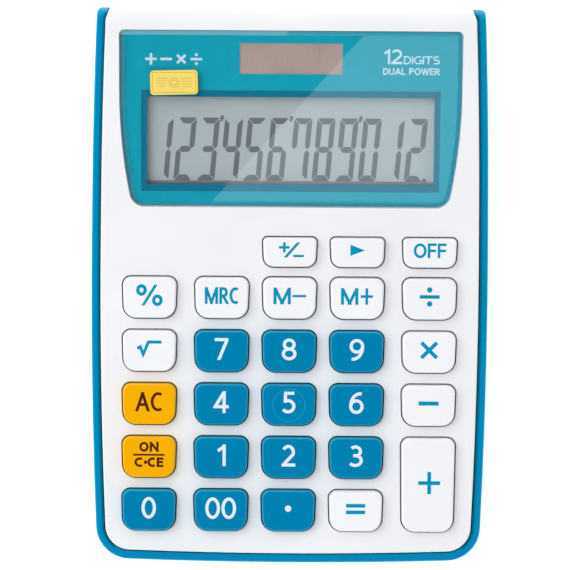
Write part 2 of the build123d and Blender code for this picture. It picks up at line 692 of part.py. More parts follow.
def chip_cover():
    """Drop of epoxy over the chip, on the underside of the main board."""
    under = BOARD_TOP - BOARD_WALL
    radius = (CHIP_RADIUS**2 + CHIP_HEIGHT**2) / (2 * CHIP_HEIGHT)
    ball = KEY_DECK * Location((*CHIP_PLACE, under + radius - CHIP_HEIGHT)) * Sphere(radius)
    below_board = KEY_DECK * Location((0, 0, under)) * Box(FAR, FAR, FAR, align=HANGING)
    return ball & below_board


def standing_part(frame, x, y, board_under, radius, height):
    """Small can hanging from the underside of a board, with a rounded lower rim."""
    can = Cylinder(radius, height, align=HANGING)
    can = fillet(can.faces().sort_by(Axis.Z)[0].edges(), radius / 4)
    return frame * Location((x, y, board_under)) * can


def capacitor():
    under = BEZEL_BOTTOM - BOARD_WALL
    return standing_part(DISPLAY_DECK, *CAPACITOR_PLACE, under, CAPACITOR_RADIUS, CAPACITOR_HEIGHT)


def resistors():
    """Three chip resistors beside the epoxy drop."""
    under = BOARD_TOP - BOARD_WALL
    bottom = under - RESISTOR_SIZE[2]
    return Compound([plate(KEY_DECK, RESISTOR_SIZE[:2], y, bottom, under, RESISTOR_X) for y in RESISTOR_Y])


def ribbon_cable():
    """Flat cable from the main board's underside to the display board's underside."""
    under_main, under_display = BOARD_TOP - BOARD_WALL, BEZEL_BOTTOM - BOARD_WALL
    display_front = BEZEL_Y - BEZEL_SIZE[1] / 2
    start = on_deck(KEY_DECK, 0, BAY_REAR_Y - RIBBON_LAP + 1, under_main)
    first = on_deck(KEY_DECK, 0, BAY_REAR_Y - 0.5, under_main)
    last = on_deck(DISPLAY_DECK, 0, display_front - 0.2, under_display)
    end = on_deck(DISPLAY_DECK, 0, display_front + RIBBON_LAP, under_display)
    upper = [(p.Y, p.Z) for p in (start, first, last, end)]
    lower = [(y, z - RIBBON_WALL) for y, z in reversed(upper)]
    return extrude(Plane.YZ * make_face(Polyline(*upper, *lower, close=True)), RIBBON_WIDTH / 2, both=True)


def wire(*points):
    """Round wire along straight runs with rounded bends."""
    path = FilletPolyline(*points, radius=WIRE_BEND)
    start = Plane(origin=path @ 0, z_dir=path % 0)
    return sweep(start * Circle(WIRE_RADIUS), path=path)


def solar_wires():
    """Pair of wires from the back of the cell to the display board."""
    pair = []
    cell_y, board_y = SOLAR_CENTRE_Y, SOLAR_CENTRE_Y - SOLAR_WIRE_RUN
    heights = (PRINT_BOTTOM - SOLAR_WALL, WIRE_LEVEL, WIRE_LEVEL, BEZEL_BOTTOM - BOARD_WALL)
    lengthwise = (cell_y, cell_y, board_y, board_y)
    for x in (-SOLAR_WIRE_X, SOLAR_WIRE_X):
        pair.append(wire(*[on_deck(DISPLAY_DECK, x, y, z) for y, z in zip(lengthwise, heights)]))
    return Compound(pair)


def battery_wires():
    """Pair of wires from the two contacts up to the display board."""
    pair = []
    for x, y in ((BATTERY_X, CONTACT_Y - CONTACT_WALL / 2), (TAB_X, BATTERY_Y)):
        start = Vector(x, y, CONTACT_TOP)
        lifted = Vector(x, y, CONTACT_TOP + WIRE_LIFT)
        below = on_deck(DISPLAY_DECK, x + BATTERY_WIRE_SHIFT, BATTERY_WIRE_Y, WIRE_LEVEL)
        end = on_deck(DISPLAY_DECK, x + BATTERY_WIRE_SHIFT, BATTERY_WIRE_Y, BEZEL_BOTTOM - BOARD_WALL)
        pair.append(wire(start, lifted, below, end))
    return Compound(pair)


def battery_cell():
    """Button cell: wide can with a smaller raised cap underneath."""
    rim, top = CELL_BOTTOM + CELL_STEP, CELL_BOTTOM + CELL_HEIGHT
    can = column_between(BATTERY_X, BATTERY_Y, rim, top, CELL_RADIUS)
    can = fillet(can.edges(), CELL_STEP / 2)
    return can + column_between(BATTERY_X, BATTERY_Y, CELL_BOTTOM, rim + CELL_STEP, CELL_CAP_RADIUS)


def contact_side():
    """Leaf that bears on the side of the cell and ends in a soldering tab above the well."""
    return slab(CONTACT_WIDTH, CONTACT_Y - CONTACT_WALL, CONTACT_Y, CELL_BOTTOM + 0.5, CONTACT_TOP)


def contact_top():
    """Dished leaf between the cell and the roof of its well, with a tab through the roof."""
    cell_top, rim = CELL_BOTTOM + CELL_HEIGHT, WELL_ROOF - CONTACT_WALL
    dish = Cone(*CONTACT_DISH, rim - cell_top, align=STANDING)
    leaf = Location((BATTERY_X, BATTERY_Y, cell_top)) * dish
    leaf += column_between(BATTERY_X, BATTERY_Y, rim, WELL_ROOF, CONTACT_DISH[1])
    half = CONTACT_WALL / 2
    leaf += slab(TAB_WIDTH, BATTERY_Y - half, BATTERY_Y + half, rim, CONTACT_TOP, TAB_X)
    return leaf


# ---------------------------------------------------------------- fastenings and feet
def screw(shank_radius, shank, head_radius, head):
    """Pan-head screw standing on its head at the origin, with a cross recess."""
    body = Cylinder(head_radius, head, align=STANDING)
    body = fillet(body.faces().sort_by(Axis.Z)[0].edges(), head / 3)
    body += Cylinder(shank_radius, head + shank, align=STANDING)
    for size in ((head_radius * 1.3, head_radius * 0.3), (head_radius * 0.3, head_radius * 1.3)):
        body -= Box(*size, head)
    return body


def case_screws():
    shank = CASE_POST_FOOT + CASE_SCREW_BITE - CASE_HEAD_TOP - SCREW_TIP_ROOM
    template = screw(CASE_SCREW_RADIUS, shank, CASE_HEAD_RADIUS, CASE_HEAD_HEIGHT)
    under = CASE_HEAD_TOP - CASE_HEAD_HEIGHT
    places = [case_post_place(index) for index in range(len(CASE_SCREWS))]
    return Compound([Location((x, y, under)) * template for x, y in places])


def board_screws():
    shank = BOARD_WALL + SCREW_BITE - SCREW_TIP_ROOM
    template = screw(SCREW_RADIUS, shank, SCREW_HEAD_RADIUS, SCREW_HEAD_HEIGHT)
    under = BOARD_TOP - BOARD_WALL - SCREW_HEAD_HEIGHT
    return Compound([KEY_DECK * Location((x, y, under)) * template for x, y in BOARD_SCREWS])


def display_screws():
    grip = DISPLAY_PEG_FOOT - BEZEL_BOTTOM + BOARD_WALL
    shank = grip + DISPLAY_SCREW_BITE - SCREW_TIP_ROOM
    template = screw(SCREW_RADIUS, shank, SCREW_HEAD_RADIUS, SCREW_HEAD_HEIGHT)
    under = BEZEL_BOTTOM - BOARD_WALL - SCREW_HEAD_HEIGHT
    return Compound([DISPLAY_DECK * Location((x, y, under)) * template for x, y in DISPLAY_SCREWS])


def rubber_foot(place):
    """Round pad glued into its recess; its lower rim is rounded."""
    foot = column_between(*place, 0, FOOT_PROUD + FOOT_RECESS, FOOT_RADIUS)
    return fillet(foot.faces().sort_by(Axis.Z)[0].edges(), FOOT_EDGE)


# ---------------------------------------------------------------- write every piece
PIECES = [
    top_shell,
    bottom_shell,
    battery_door,
    display_lens,
    display_print,
    foil_seal,
    display_bezel,
    lcd_front_film,
    lcd_front_glass,
    lcd_rear_glass,
    lcd_reflector,
    contact_strip,
    solar_cell,
    display_board,
    keypad_mat,
    keypad_domes,
    main_board,
    chip_cover,
    capacitor,
    resistors,
    ribbon_cable,
    solar_wires,
    battery_wires,
    battery_cell,
    contact_side,
    contact_top,
    case_screws,
    board_screws,
    display_screws,
]

for piece in PIECES:
    export_step(piece(), f"parts/{piece.__name__}.step")

for name in KEYS:
    export_step(key(name), f"parts/{name}.step")

for name, place in zip(("front_left", "front_right", "rear_left", "rear_right"), FEET):
    export_step(rubber_foot(place), f"parts/foot_{name}.step")
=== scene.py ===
"""Looks of the desk calculator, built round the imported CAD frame. Metres, +Z up, +Y to the display end."""

import json
import math

import bmesh
import bpy
from mathutils import Matrix, Vector
from mathutils.geometry import delaunay_2d_cdt


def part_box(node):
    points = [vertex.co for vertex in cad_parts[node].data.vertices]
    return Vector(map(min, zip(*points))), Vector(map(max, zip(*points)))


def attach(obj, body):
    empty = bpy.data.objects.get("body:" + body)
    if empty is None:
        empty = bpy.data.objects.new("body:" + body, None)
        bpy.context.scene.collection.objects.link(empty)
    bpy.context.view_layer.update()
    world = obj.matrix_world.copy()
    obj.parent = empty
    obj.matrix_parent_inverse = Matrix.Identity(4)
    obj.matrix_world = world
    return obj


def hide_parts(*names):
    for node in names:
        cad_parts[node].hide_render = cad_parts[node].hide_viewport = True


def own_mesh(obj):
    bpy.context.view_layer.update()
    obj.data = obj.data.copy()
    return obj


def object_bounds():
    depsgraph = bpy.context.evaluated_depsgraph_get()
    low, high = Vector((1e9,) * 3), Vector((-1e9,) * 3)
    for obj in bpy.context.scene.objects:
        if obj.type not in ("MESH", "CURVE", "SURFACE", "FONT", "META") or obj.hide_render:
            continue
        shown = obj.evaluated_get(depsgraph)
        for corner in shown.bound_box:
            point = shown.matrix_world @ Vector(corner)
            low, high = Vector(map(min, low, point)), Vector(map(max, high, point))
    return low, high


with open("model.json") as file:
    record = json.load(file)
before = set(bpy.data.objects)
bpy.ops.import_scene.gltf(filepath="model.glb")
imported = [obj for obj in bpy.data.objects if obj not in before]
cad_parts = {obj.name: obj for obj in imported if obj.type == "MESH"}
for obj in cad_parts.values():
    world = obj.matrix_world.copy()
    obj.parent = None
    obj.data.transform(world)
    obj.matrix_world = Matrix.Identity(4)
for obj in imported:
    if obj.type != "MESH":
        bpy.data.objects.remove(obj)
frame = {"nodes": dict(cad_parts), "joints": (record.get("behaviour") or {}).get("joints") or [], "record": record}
CAD_BOX = [list(corner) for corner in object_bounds()]
NODES = frame["nodes"]
MM = 0.001

# ---------------------------------------------------------------- colours, linear
WHITE_PLASTIC = (0.785, 0.785, 0.81)
WHITE_KEY = (0.80, 0.80, 0.825)
BLUE_TRAY = (0.0, 0.215, 0.415)
BLUE_KEY = (0.0, 0.185, 0.37)
# The *_EDGE_HIGHLIGHT colours are painted highlights on the rounded edges of keys, tray and bezel.
BLUE_EDGE_HIGHLIGHT = (0.01, 0.33, 0.52)
WHITE_EDGE_HIGHLIGHT = (0.87, 0.87, 0.88)
YELLOW_EDGE_HIGHLIGHT = (0.90, 0.50, 0.01)
YELLOW_KEY = (0.82, 0.385, 0.0)
TEAL_PRINT = (0.0, 0.30, 0.405)
BEZEL_BLUE = (0.0, 0.147, 0.243)
BEZEL_EDGE_HIGHLIGHT = (0.005, 0.175, 0.29)
LEGEND_TEAL = (0.0, 0.25, 0.42)
LEGEND_WHITE = (0.66, 0.76, 0.82)
LEGEND_BROWN = (0.045, 0.010, 0.004)
LCD_BACK = (0.395, 0.43, 0.44)
LCD_INK = (0.13, 0.135, 0.165)
FOIL_GOLD = (0.92, 0.69, 0.15)
FOIL_SHADE = (0.66, 0.42, 0.05)
MAUVE_BAND_COLOUR = (0.24, 0.17, 0.17)
WELL_SHADE = (0.03, 0.032, 0.036)
RIM_SHADE = (0.0, 0.115, 0.20)
PALE_PRINT = (0.54, 0.70, 0.78)
WINDOW_CLEAR = (0.97, 0.995, 1.0)
WINDOW_EDGE_SHADE = (0.25, 0.55, 0.62)  # painted shade: the darker tint given to the window's bevels and cut edges
SOLAR_BASE = ((0.37, 0.27, 0.24), (0.43, 0.315, 0.28))
SOLAR_LINE = (0.35, 0.24, 0.215)
RESIST_GREEN = ((0.012, 0.11, 0.04), (0.03, 0.20, 0.07))
PAPER_WHITE = (0.9, 0.9, 0.9)
MAT_GREY = (0.05, 0.052, 0.056)
STRIP_BLACK = (0.03, 0.03, 0.035)
FOOT_BLACK = (0.02, 0.02, 0.022)
EPOXY_BLACK = (0.012, 0.012, 0.014)
RESISTOR_BLACK = (0.02, 0.02, 0.024)
SLEEVE_NAVY = (0.02, 0.03, 0.10)
RIBBON_BEIGE = (0.55, 0.5, 0.4)
WIRE_RED = (0.45, 0.02, 0.015)
STEEL_GREY = (0.55, 0.56, 0.58)
NICKEL_GREY = (0.66, 0.63, 0.57)
CELL_GREY = (0.6, 0.6, 0.61)
REFLECTOR_GREY = (0.6, 0.62, 0.6)

# ---------------------------------------------------------------- sizes and patterns of the materials
WELLS_HALF_WIDTH = 37.5 * MM  # the field of key openings in the cover
WELLS_REAR_Y = 13.5 * MM
WELLS_FRONT_Y = -55.5 * MM
WALL_RISE = 0.6  # a face whose normal rises less than this is a wall
PLASTIC_GRAIN = 2600.0  # noise cells to the metre
GRAIN_DEPTH = 0.004 * MM
SOLAR_LINE_PITCH = 1.1 * MM
FOIL_LATTICE_PITCH = 0.5 * MM
TRACE_PITCH = 2.54 * MM
PAPER_GLOW = 0.55


# ---------------------------------------------------------------- materials
class Shader:
    """A small builder for one node material."""

    def __init__(self, name, roughness=0.5, **sockets):
        self.material = bpy.data.materials.new(name)
        self.material.use_nodes = True
        self.tree = self.material.node_tree
        self.surface = self.tree.nodes["Principled BSDF"]
        self.set(Roughness=roughness, **sockets)
        source = self.tree.nodes.new("ShaderNodeTexCoord")
        self.coordinates = source.outputs["Object"]
        self.normals = source.outputs["Normal"]

    def set(self, **sockets):
        for name, value in sockets.items():
            self.surface.inputs[name.replace("_", " ")].default_value = value

    def node(self, kind, **inputs):
        node = self.tree.nodes.new("ShaderNode" + kind)
        for name, value in inputs.items():
            self.feed(node.inputs[name.replace("_", " ")], value)
        return node

    def feed(self, socket, value):
        if isinstance(value, bpy.types.NodeSocket):
            self.tree.links.new(value, socket)
        else:
            socket.default_value = value

    def noise(self, scale, detail=3.0, coordinates=None):
        source = self.coordinates if coordinates is None else coordinates
        return self.node("TexNoise", Vector=source, Scale=scale, Detail=detail).outputs["Fac"]

    def math(self, operation, first, second=0.0):
        node = self.tree.nodes.new("ShaderNodeMath")
        node.operation = operation
        self.feed(node.inputs[0], first)
        self.feed(node.inputs[1], second)
        return node.outputs[0]

    def remap(self, value, low, high, source_low=0.0, source_high=1.0):
        node = self.node("MapRange", Value=value)
        for name, number in (
            ("From Min", source_low),
            ("From Max", source_high),
            ("To Min", low),
            ("To Max", high),
        ):
            node.inputs[name].default_value = number
        return node.outputs["Result"]

    def mix(self, amount, first, second):
        node = self.tree.nodes.new("ShaderNodeMix")
        node.data_type = "RGBA"
        self.feed(node.inputs["Factor"], amount)
        for name, colour in (("A", first), ("B", second)):
            socket = [s for s in node.inputs if s.name == name and s.type == "RGBA"][0]
            self.feed(socket, colour if isinstance(colour, bpy.types.NodeSocket) else (*colour, 1.0))
        return [s for s in node.outputs if s.type == "RGBA"][0]

    def colour(self, value):
        self.feed(self.surface.inputs["Base Color"], value)

    def mottled(self, colour, spread, scale):
        """A colour that drifts slightly darker and lighter over the surface."""
        dark = tuple(c * (1 - spread) for c in colour)
        light = tuple(min(1.0, c * (1 + spread)) for c in colour)
        mixed = self.mix(self.remap(self.noise(scale), 0.0, 1.0, 0.3, 0.7), dark, light)
        self.colour(mixed)
        return mixed

    def uneven_gloss(self, low, high, scale):
        self.feed(self.surface.inputs["Roughness"], self.remap(self.noise(scale), low, high, 0.3, 0.7))

    def let_lamps_through(self):
        """Clear to shadow rays, so that what lies behind the glass is lit as it would be without it."""
        mixer = self.node("MixShader", Fac=self.node("LightPath").outputs["Is Shadow Ray"])
        self.feed(mixer.inputs[1], self.surface.outputs["BSDF"])
        self.feed(mixer.inputs[2], self.node("BsdfTransparent").outputs["BSDF"])
        output = self.tree.nodes["Material Output"]
        self.feed(output.inputs["Surface"], mixer.outputs["Shader"])

    def bump(self, height, distance, strength=1.0):
        node = self.node("Bump", Height=height, Distance=distance, Strength=strength)
        self.feed(self.surface.inputs["Normal"], node.outputs["Normal"])


def deep(colour):
    """The sheen of a deep colour, which keeps the colour's own hue."""
    return tuple(part / max(colour) for part in colour)


def moulded_plastic(name, colour, gloss, grain=PLASTIC_GRAIN, edge=None):
    """Injection-moulded plastic with a fine spark-eroded grain; edge is a paler colour painted on faces that tilt
    away from level, a painted highlight on the rounded edges.
    """
    shader = Shader(name, IOR=1.49)
    body = shader.mottled(colour, 0.02, 55.0)
    if edge:
        facing = shader.node("SeparateXYZ", Vector=shader.normals).outputs["Z"]
        # painted highlight: faces that tilt away from level, the rounded edges, fade to the paler edge colour
        shader.colour(shader.mix(shader.remap(facing, 1.0, 0.0, 0.6, 0.98), body, edge))
        shader.set(Specular_Tint=(*deep(colour), 1.0))
    shader.uneven_gloss(*gloss, 320.0)
    shader.bump(shader.noise(grain, 2.0), GRAIN_DEPTH)
    return shader.material


def cover_plastic():
    """White plastic; the walls of the key openings, which hardly any light reaches, are painted near-black as
    painted shade.
    """
    shader = Shader("white_plastic", IOR=1.49)
    body = shader.mottled(WHITE_PLASTIC, 0.02, 55.0)
    facing = shader.node("SeparateXYZ", Vector=shader.normals).outputs["Z"]
    place = shader.node("SeparateXYZ", Vector=shader.coordinates)
    upright = shader.math("LESS_THAN", facing, WALL_RISE)
    inboard = shader.math("LESS_THAN", shader.math("ABSOLUTE", place.outputs["X"]), WELLS_HALF_WIDTH)
    forward = shader.math("LESS_THAN", place.outputs["Y"], WELLS_REAR_Y)
    behind_front = shader.math("GREATER_THAN", place.outputs["Y"], WELLS_FRONT_Y)
    field = shader.math("MULTIPLY", shader.math("MULTIPLY", inboard, forward), behind_front)
    # painted shade: walls inside the field of key openings get the near-black WELL_SHADE colour
    shader.colour(shader.mix(shader.math("MULTIPLY", upright, field), body, WELL_SHADE))
    shader.uneven_gloss(0.38, 0.46, 320.0)
    shader.bump(shader.noise(PLASTIC_GRAIN, 2.0), GRAIN_DEPTH)
    return shader.material


def clear_window():
    """Clear hard-coated acrylic; its bevels and cut edges, which tilt away from level, are tinted darker as
    painted shade; lamps shine through it.
    """
    shader = Shader("clear_window", IOR=1.49, Transmission_Weight=1.0)
    facing = shader.math("ABSOLUTE", shader.node("SeparateXYZ", Vector=shader.normals).outputs["Z"])
    shader.colour(shader.mix(shader.remap(facing, 0.0, 1.0, 0.9, 0.97), WINDOW_EDGE_SHADE, WINDOW_CLEAR))
    shader.uneven_gloss(0.004, 0.008, 90.0)
    shader.let_lamps_through()
    return shader.material


def printed_film():
    """Teal ink on the back of the window, with fine roller streaks."""
    shader = Shader("printed_film", 0.4)
    stretched = shader.node("Mapping", Vector=shader.coordinates)
    stretched.inputs["Scale"].default_value = (1.0, 0.06, 0.06)
    streaks = shader.remap(shader.noise(900.0, 2.0, stretched.outputs[0]), 0.0, 1.0, 0.3, 0.7)
    shader.colour(shader.mix(streaks, TEAL_PRINT, tuple(c * 1.06 for c in TEAL_PRINT)))
    shader.set(Specular_Tint=(*deep(TEAL_PRINT), 1.0))
    return shader.material


def lcd_face():
    """Grey-green polarised film over a diffuse reflector, with a fine speckle."""
    shader = Shader("lcd_face", 0.35)
    speckle = shader.remap(shader.noise(3500.0, 1.0), 0.0, 1.0, 0.35, 0.65)
    shader.colour(shader.mix(speckle, LCD_BACK, tuple(c * 1.05 for c in LCD_BACK)))
    return shader.material


def solar_face():
    """Mauve-brown amorphous silicon with fine vertical scribe lines."""
    shader = Shader("solar_face", 0.3, IOR=1.5)
    axes = shader.node("SeparateXYZ", Vector=shader.coordinates)
    pitch = shader.math("MULTIPLY", axes.outputs["X"], 2 * math.pi / SOLAR_LINE_PITCH)
    line = shader.remap(shader.math("SINE", pitch), 0.0, 0.7, 0.9, 1.0)
    line = shader.math("MULTIPLY", line, shader.remap(shader.noise(260.0), 0.0, 1.0, 0.35, 0.6))
    cloud = shader.remap(shader.noise(120.0), 0.0, 1.0, 0.3, 0.7)
    shader.colour(shader.mix(line, shader.mix(cloud, *SOLAR_BASE), SOLAR_LINE))
    return shader.material


def foil(name, colour):
    """Gold foil embossed with a fine lattice."""
    shader = Shader(name, Metallic=0.5)
    axes = shader.node("SeparateXYZ", Vector=shader.coordinates)
    turn = 2 * math.pi / FOIL_LATTICE_PITCH
    across = shader.math("SINE", shader.math("MULTIPLY", axes.outputs["X"], turn))
    along = shader.math("SINE", shader.math("MULTIPLY", axes.outputs["Y"], turn))
    lattice = shader.math("MULTIPLY", across, along)
    tone = shader.remap(lattice, 0.0, 1.0, -1.0, 1.0)
    shader.colour(shader.mix(tone, colour, tuple(min(1.0, part * 1.12) for part in colour)))
    shader.uneven_gloss(0.3, 0.45, 500.0)
    shader.bump(tone, 0.01 * MM)
    return shader.material


def rubber(name, colour):
    shader = Shader(name, 0.8)
    shader.mottled(colour, 0.08, 200.0)
    shader.uneven_gloss(0.7, 0.85, 400.0)
    shader.bump(shader.noise(1500.0), 0.02 * MM)
    return shader.material


def metal(name, colour, gloss, grain_axis):
    """Plated or brushed metal; its grain runs along the given axis."""
    shader = Shader(name, Metallic=1.0)
    stretched = shader.node("Mapping", Vector=shader.coordinates)
    stretched.inputs["Scale"].default_value = tuple(0.08 if axis == grain_axis else 1.0 for axis in "XYZ")
    grain = shader.noise(2500.0, 2.0, stretched.outputs[0])
    shader.mottled(colour, 0.05, 300.0)
    shader.feed(shader.surface.inputs["Roughness"], shader.remap(grain, *gloss, 0.3, 0.7))
    shader.bump(grain, 0.003 * MM)
    return shader.material


def circuit_board():
    """Green solder resist with a grid of paler traces under it."""
    shader = Shader("circuit_board", 0.35)
    axes = shader.node("SeparateXYZ", Vector=shader.coordinates)
    waves = []
    for axis in ("X", "Y"):
        turned = shader.math("MULTIPLY", axes.outputs[axis], 2 * math.pi / TRACE_PITCH)
        waves.append(shader.math("SINE", turned))
    trace = shader.remap(shader.math("MAXIMUM", *waves), 0.0, 1.0, 0.93, 0.97)
    shader.colour(shader.mix(trace, *RESIST_GREEN))
    shader.bump(trace, 0.03 * MM)
    return shader.material


def ink(name, colour, roughness=0.45):
    """Pad-printed ink, or a painted shade or highlight mark: slightly uneven in cover."""
    shader = Shader(name, roughness, Specular_Tint=(*deep(colour), 1.0))
    shader.mottled(colour, 0.04, 900.0)
    shader.uneven_gloss(roughness - 0.05, roughness + 0.05, 1200.0)
    return shader.material


def studio_paper():
    """Plain white paper that glows a little, like a lit product table."""
    shader = Shader("studio_paper", 0.9)
    shader.set(Emission_Color=(1.0, 1.0, 1.0, 1.0), Emission_Strength=PAPER_GLOW)
    shader.mottled(PAPER_WHITE, 0.004, 3.0)
    return shader.material


# ---------------------------------------------------------------- places on the frame
FLATNESS = 0.03 * MM  # how far below the highest point a face's own corners may lie


def face_frame(node):
    """Middle of a node's flat top face, with z square to the face and x along the body's X."""
    mesh = NODES[node].data
    normals = {}
    for polygon in mesh.polygons:
        if polygon.normal.z > 0.5:
            rough = tuple(round(part, 2) for part in polygon.normal)
            normals[rough] = normals.get(rough, Vector()) + polygon.normal * polygon.area
    up = max(normals.values(), key=lambda normal: normal.length).normalized()
    x_axis = Vector((1, 0, 0))
    y_axis = up.cross(x_axis)
    height = max(vertex.co.dot(up) for vertex in mesh.vertices)
    top = [vertex.co for vertex in mesh.vertices if vertex.co.dot(up) > height - FLATNESS]
    middle = []
    for axis in (x_axis, y_axis):
        along = [point.dot(axis) for point in top]
        middle.append((min(along) + max(along)) / 2)
    origin = x_axis * middle[0] + y_axis * middle[1] + up * height
    columns = Matrix((x_axis, y_axis, up)).transposed().to_4x4()
    columns.translation = origin
    return columns


# ---------------------------------------------------------------- flat printed shapes
# A shape is a list of closed outlines in millimetres, in the plane of its face; they may overlap.
def bar(width, height, x=0.0, y=0.0):
    a, b = width / 2, height / 2
    return [[(x - a, y - b), (x + a, y - b), (x + a, y + b), (x - a, y + b)]]


def disc(radius, x=0.0, y=0.0, sides=32):
    turns = [2 * math.pi * index / sides for index in range(sides)]
    return [[(x + radius * math.cos(turn), y + radius * math.sin(turn)) for turn in turns]]


def ribbon(points, stroke):
    """A line of even width through the points, mitred at its bends and cut square at its ends."""
    left, right = [], []
    for index, point in enumerate(points):
        before = points[max(index - 1, 0)]
        after = points[min(index + 1, len(points) - 1)]
        arrive = Vector((point[0] - before[0], point[1] - before[1]))
        leave = Vector((after[0] - point[0], after[1] - point[1]))
        arrive = (arrive if arrive.length > 0 else leave).normalized()
        leave = (leave if leave.length > 0 else arrive).normalized()
        way = (arrive + leave).normalized()
        reach = stroke / 2 / max(way.dot(arrive), 0.4)
        normal = Vector((-way.y, way.x)) * reach
        left.append((point[0] + normal.x, point[1] + normal.y))
        right.append((point[0] - normal.x, point[1] - normal.y))
    return [right + left[::-1]]


def square(points, stroke):
    """A ribbon that runs on by half its width at both ends."""
    first, second = Vector(points[0]), Vector(points[1])
    last, before_last = Vector(points[-1]), Vector(points[-2])
    start = first + (first - second).normalized() * stroke / 2
    end = last + (last - before_last).normalized() * stroke / 2
    return ribbon([tuple(start)] + list(points[1:-1]) + [tuple(end)], stroke)


def level(points, stroke):
    """A slanting stroke whose ends are cut level, half a width beyond its two points."""
    (x0, y0), (x1, y1) = points
    lean = (x1 - x0) / (y1 - y0)
    half = stroke / 2 * math.hypot(1, lean)
    rise = math.copysign(stroke / 2, y1 - y0)
    x0, y0, x1, y1 = x0 - lean * rise, y0 - rise, x1 + lean * rise, y1 + rise
    return [[(x0 - half, y0), (x0 + half, y0), (x1 + half, y1), (x1 - half, y1)]]


def plus(width, height, stroke, x=0.0, y=0.0):
    return bar(width, stroke, x, y) + bar(stroke, height, x, y)


def times(size, stroke, x=0.0, y=0.0):
    a = size / 2
    rising = ribbon([(x - a, y - a), (x + a, y + a)], stroke)
    falling = ribbon([(x - a, y + a), (x + a, y - a)], stroke)
    return rising + falling


def divide(width, stroke, rise, dot, x=0.0, y=0.0):
    return bar(width, stroke, x, y) + disc(dot, x, y + rise) + disc(dot, x, y - rise)


def square_root():
    return ribbon([(-2.6, 0.0), (-1.95, 0.4), (-1.3, -1.3), (-0.2, 1.4), (2.65, 1.4)], 0.66)


def arrow():
    return [[(-1.55, -1.2), (1.6, 0.0), (-1.55, 1.2)]]


def plus_minus():
    slash = level([(-0.7, -1.35), (1.65, 1.35)], 0.56)
    return plus(2.3, 2.2, 0.56, -1.2, 0.55) + slash + bar(2.25, 0.52, 1.9, -1.3)


def percent():
    shape = level([(-1.2, -1.95), (1.2, 1.95)], 0.6)
    for kind, points in oval(-1.72, 1.1, 0.8, 0.9) + oval(1.72, -1.1, 0.8, 0.9):
        shape += kind(points, 0.72)
    return shape


# ---------------------------------------------------------------- drawn letters and figures
# A glyph is its width and its strokes, along the middle of the line, in a cell one unit high.
# A stroke is the shape function that draws it, with its points.
def arc(x, y, x_radius, y_radius, start, end, steps=14):
    turns = [math.radians(start + (end - start) * index / steps) for index in range(steps + 1)]
    return [(x + x_radius * math.cos(turn), y + y_radius * math.sin(turn)) for turn in turns]


def oval(x, y, x_radius, y_radius):
    """A closed ring as two halves that overlap a little."""
    return [(ribbon, arc(x, y, x_radius, y_radius, start, start + 200)) for start in (80, -100)]


def ring(x, y, radius, stroke):
    shape = []
    for kind, points in oval(x, y, radius, radius):
        shape += kind(points, stroke)
    return shape


def stem(x, low=0.0, high=1.0):
    return [(square, [(x, low), (x, high)])]


def beam(y, left, right):
    return [(square, [(left, y), (right, y)])]


def slant(low_x, high_x, low=0.0, high=1.0):
    return [(level, [(low_x, low), (high_x, high)])]


def curve(points):
    return [(ribbon, points)]


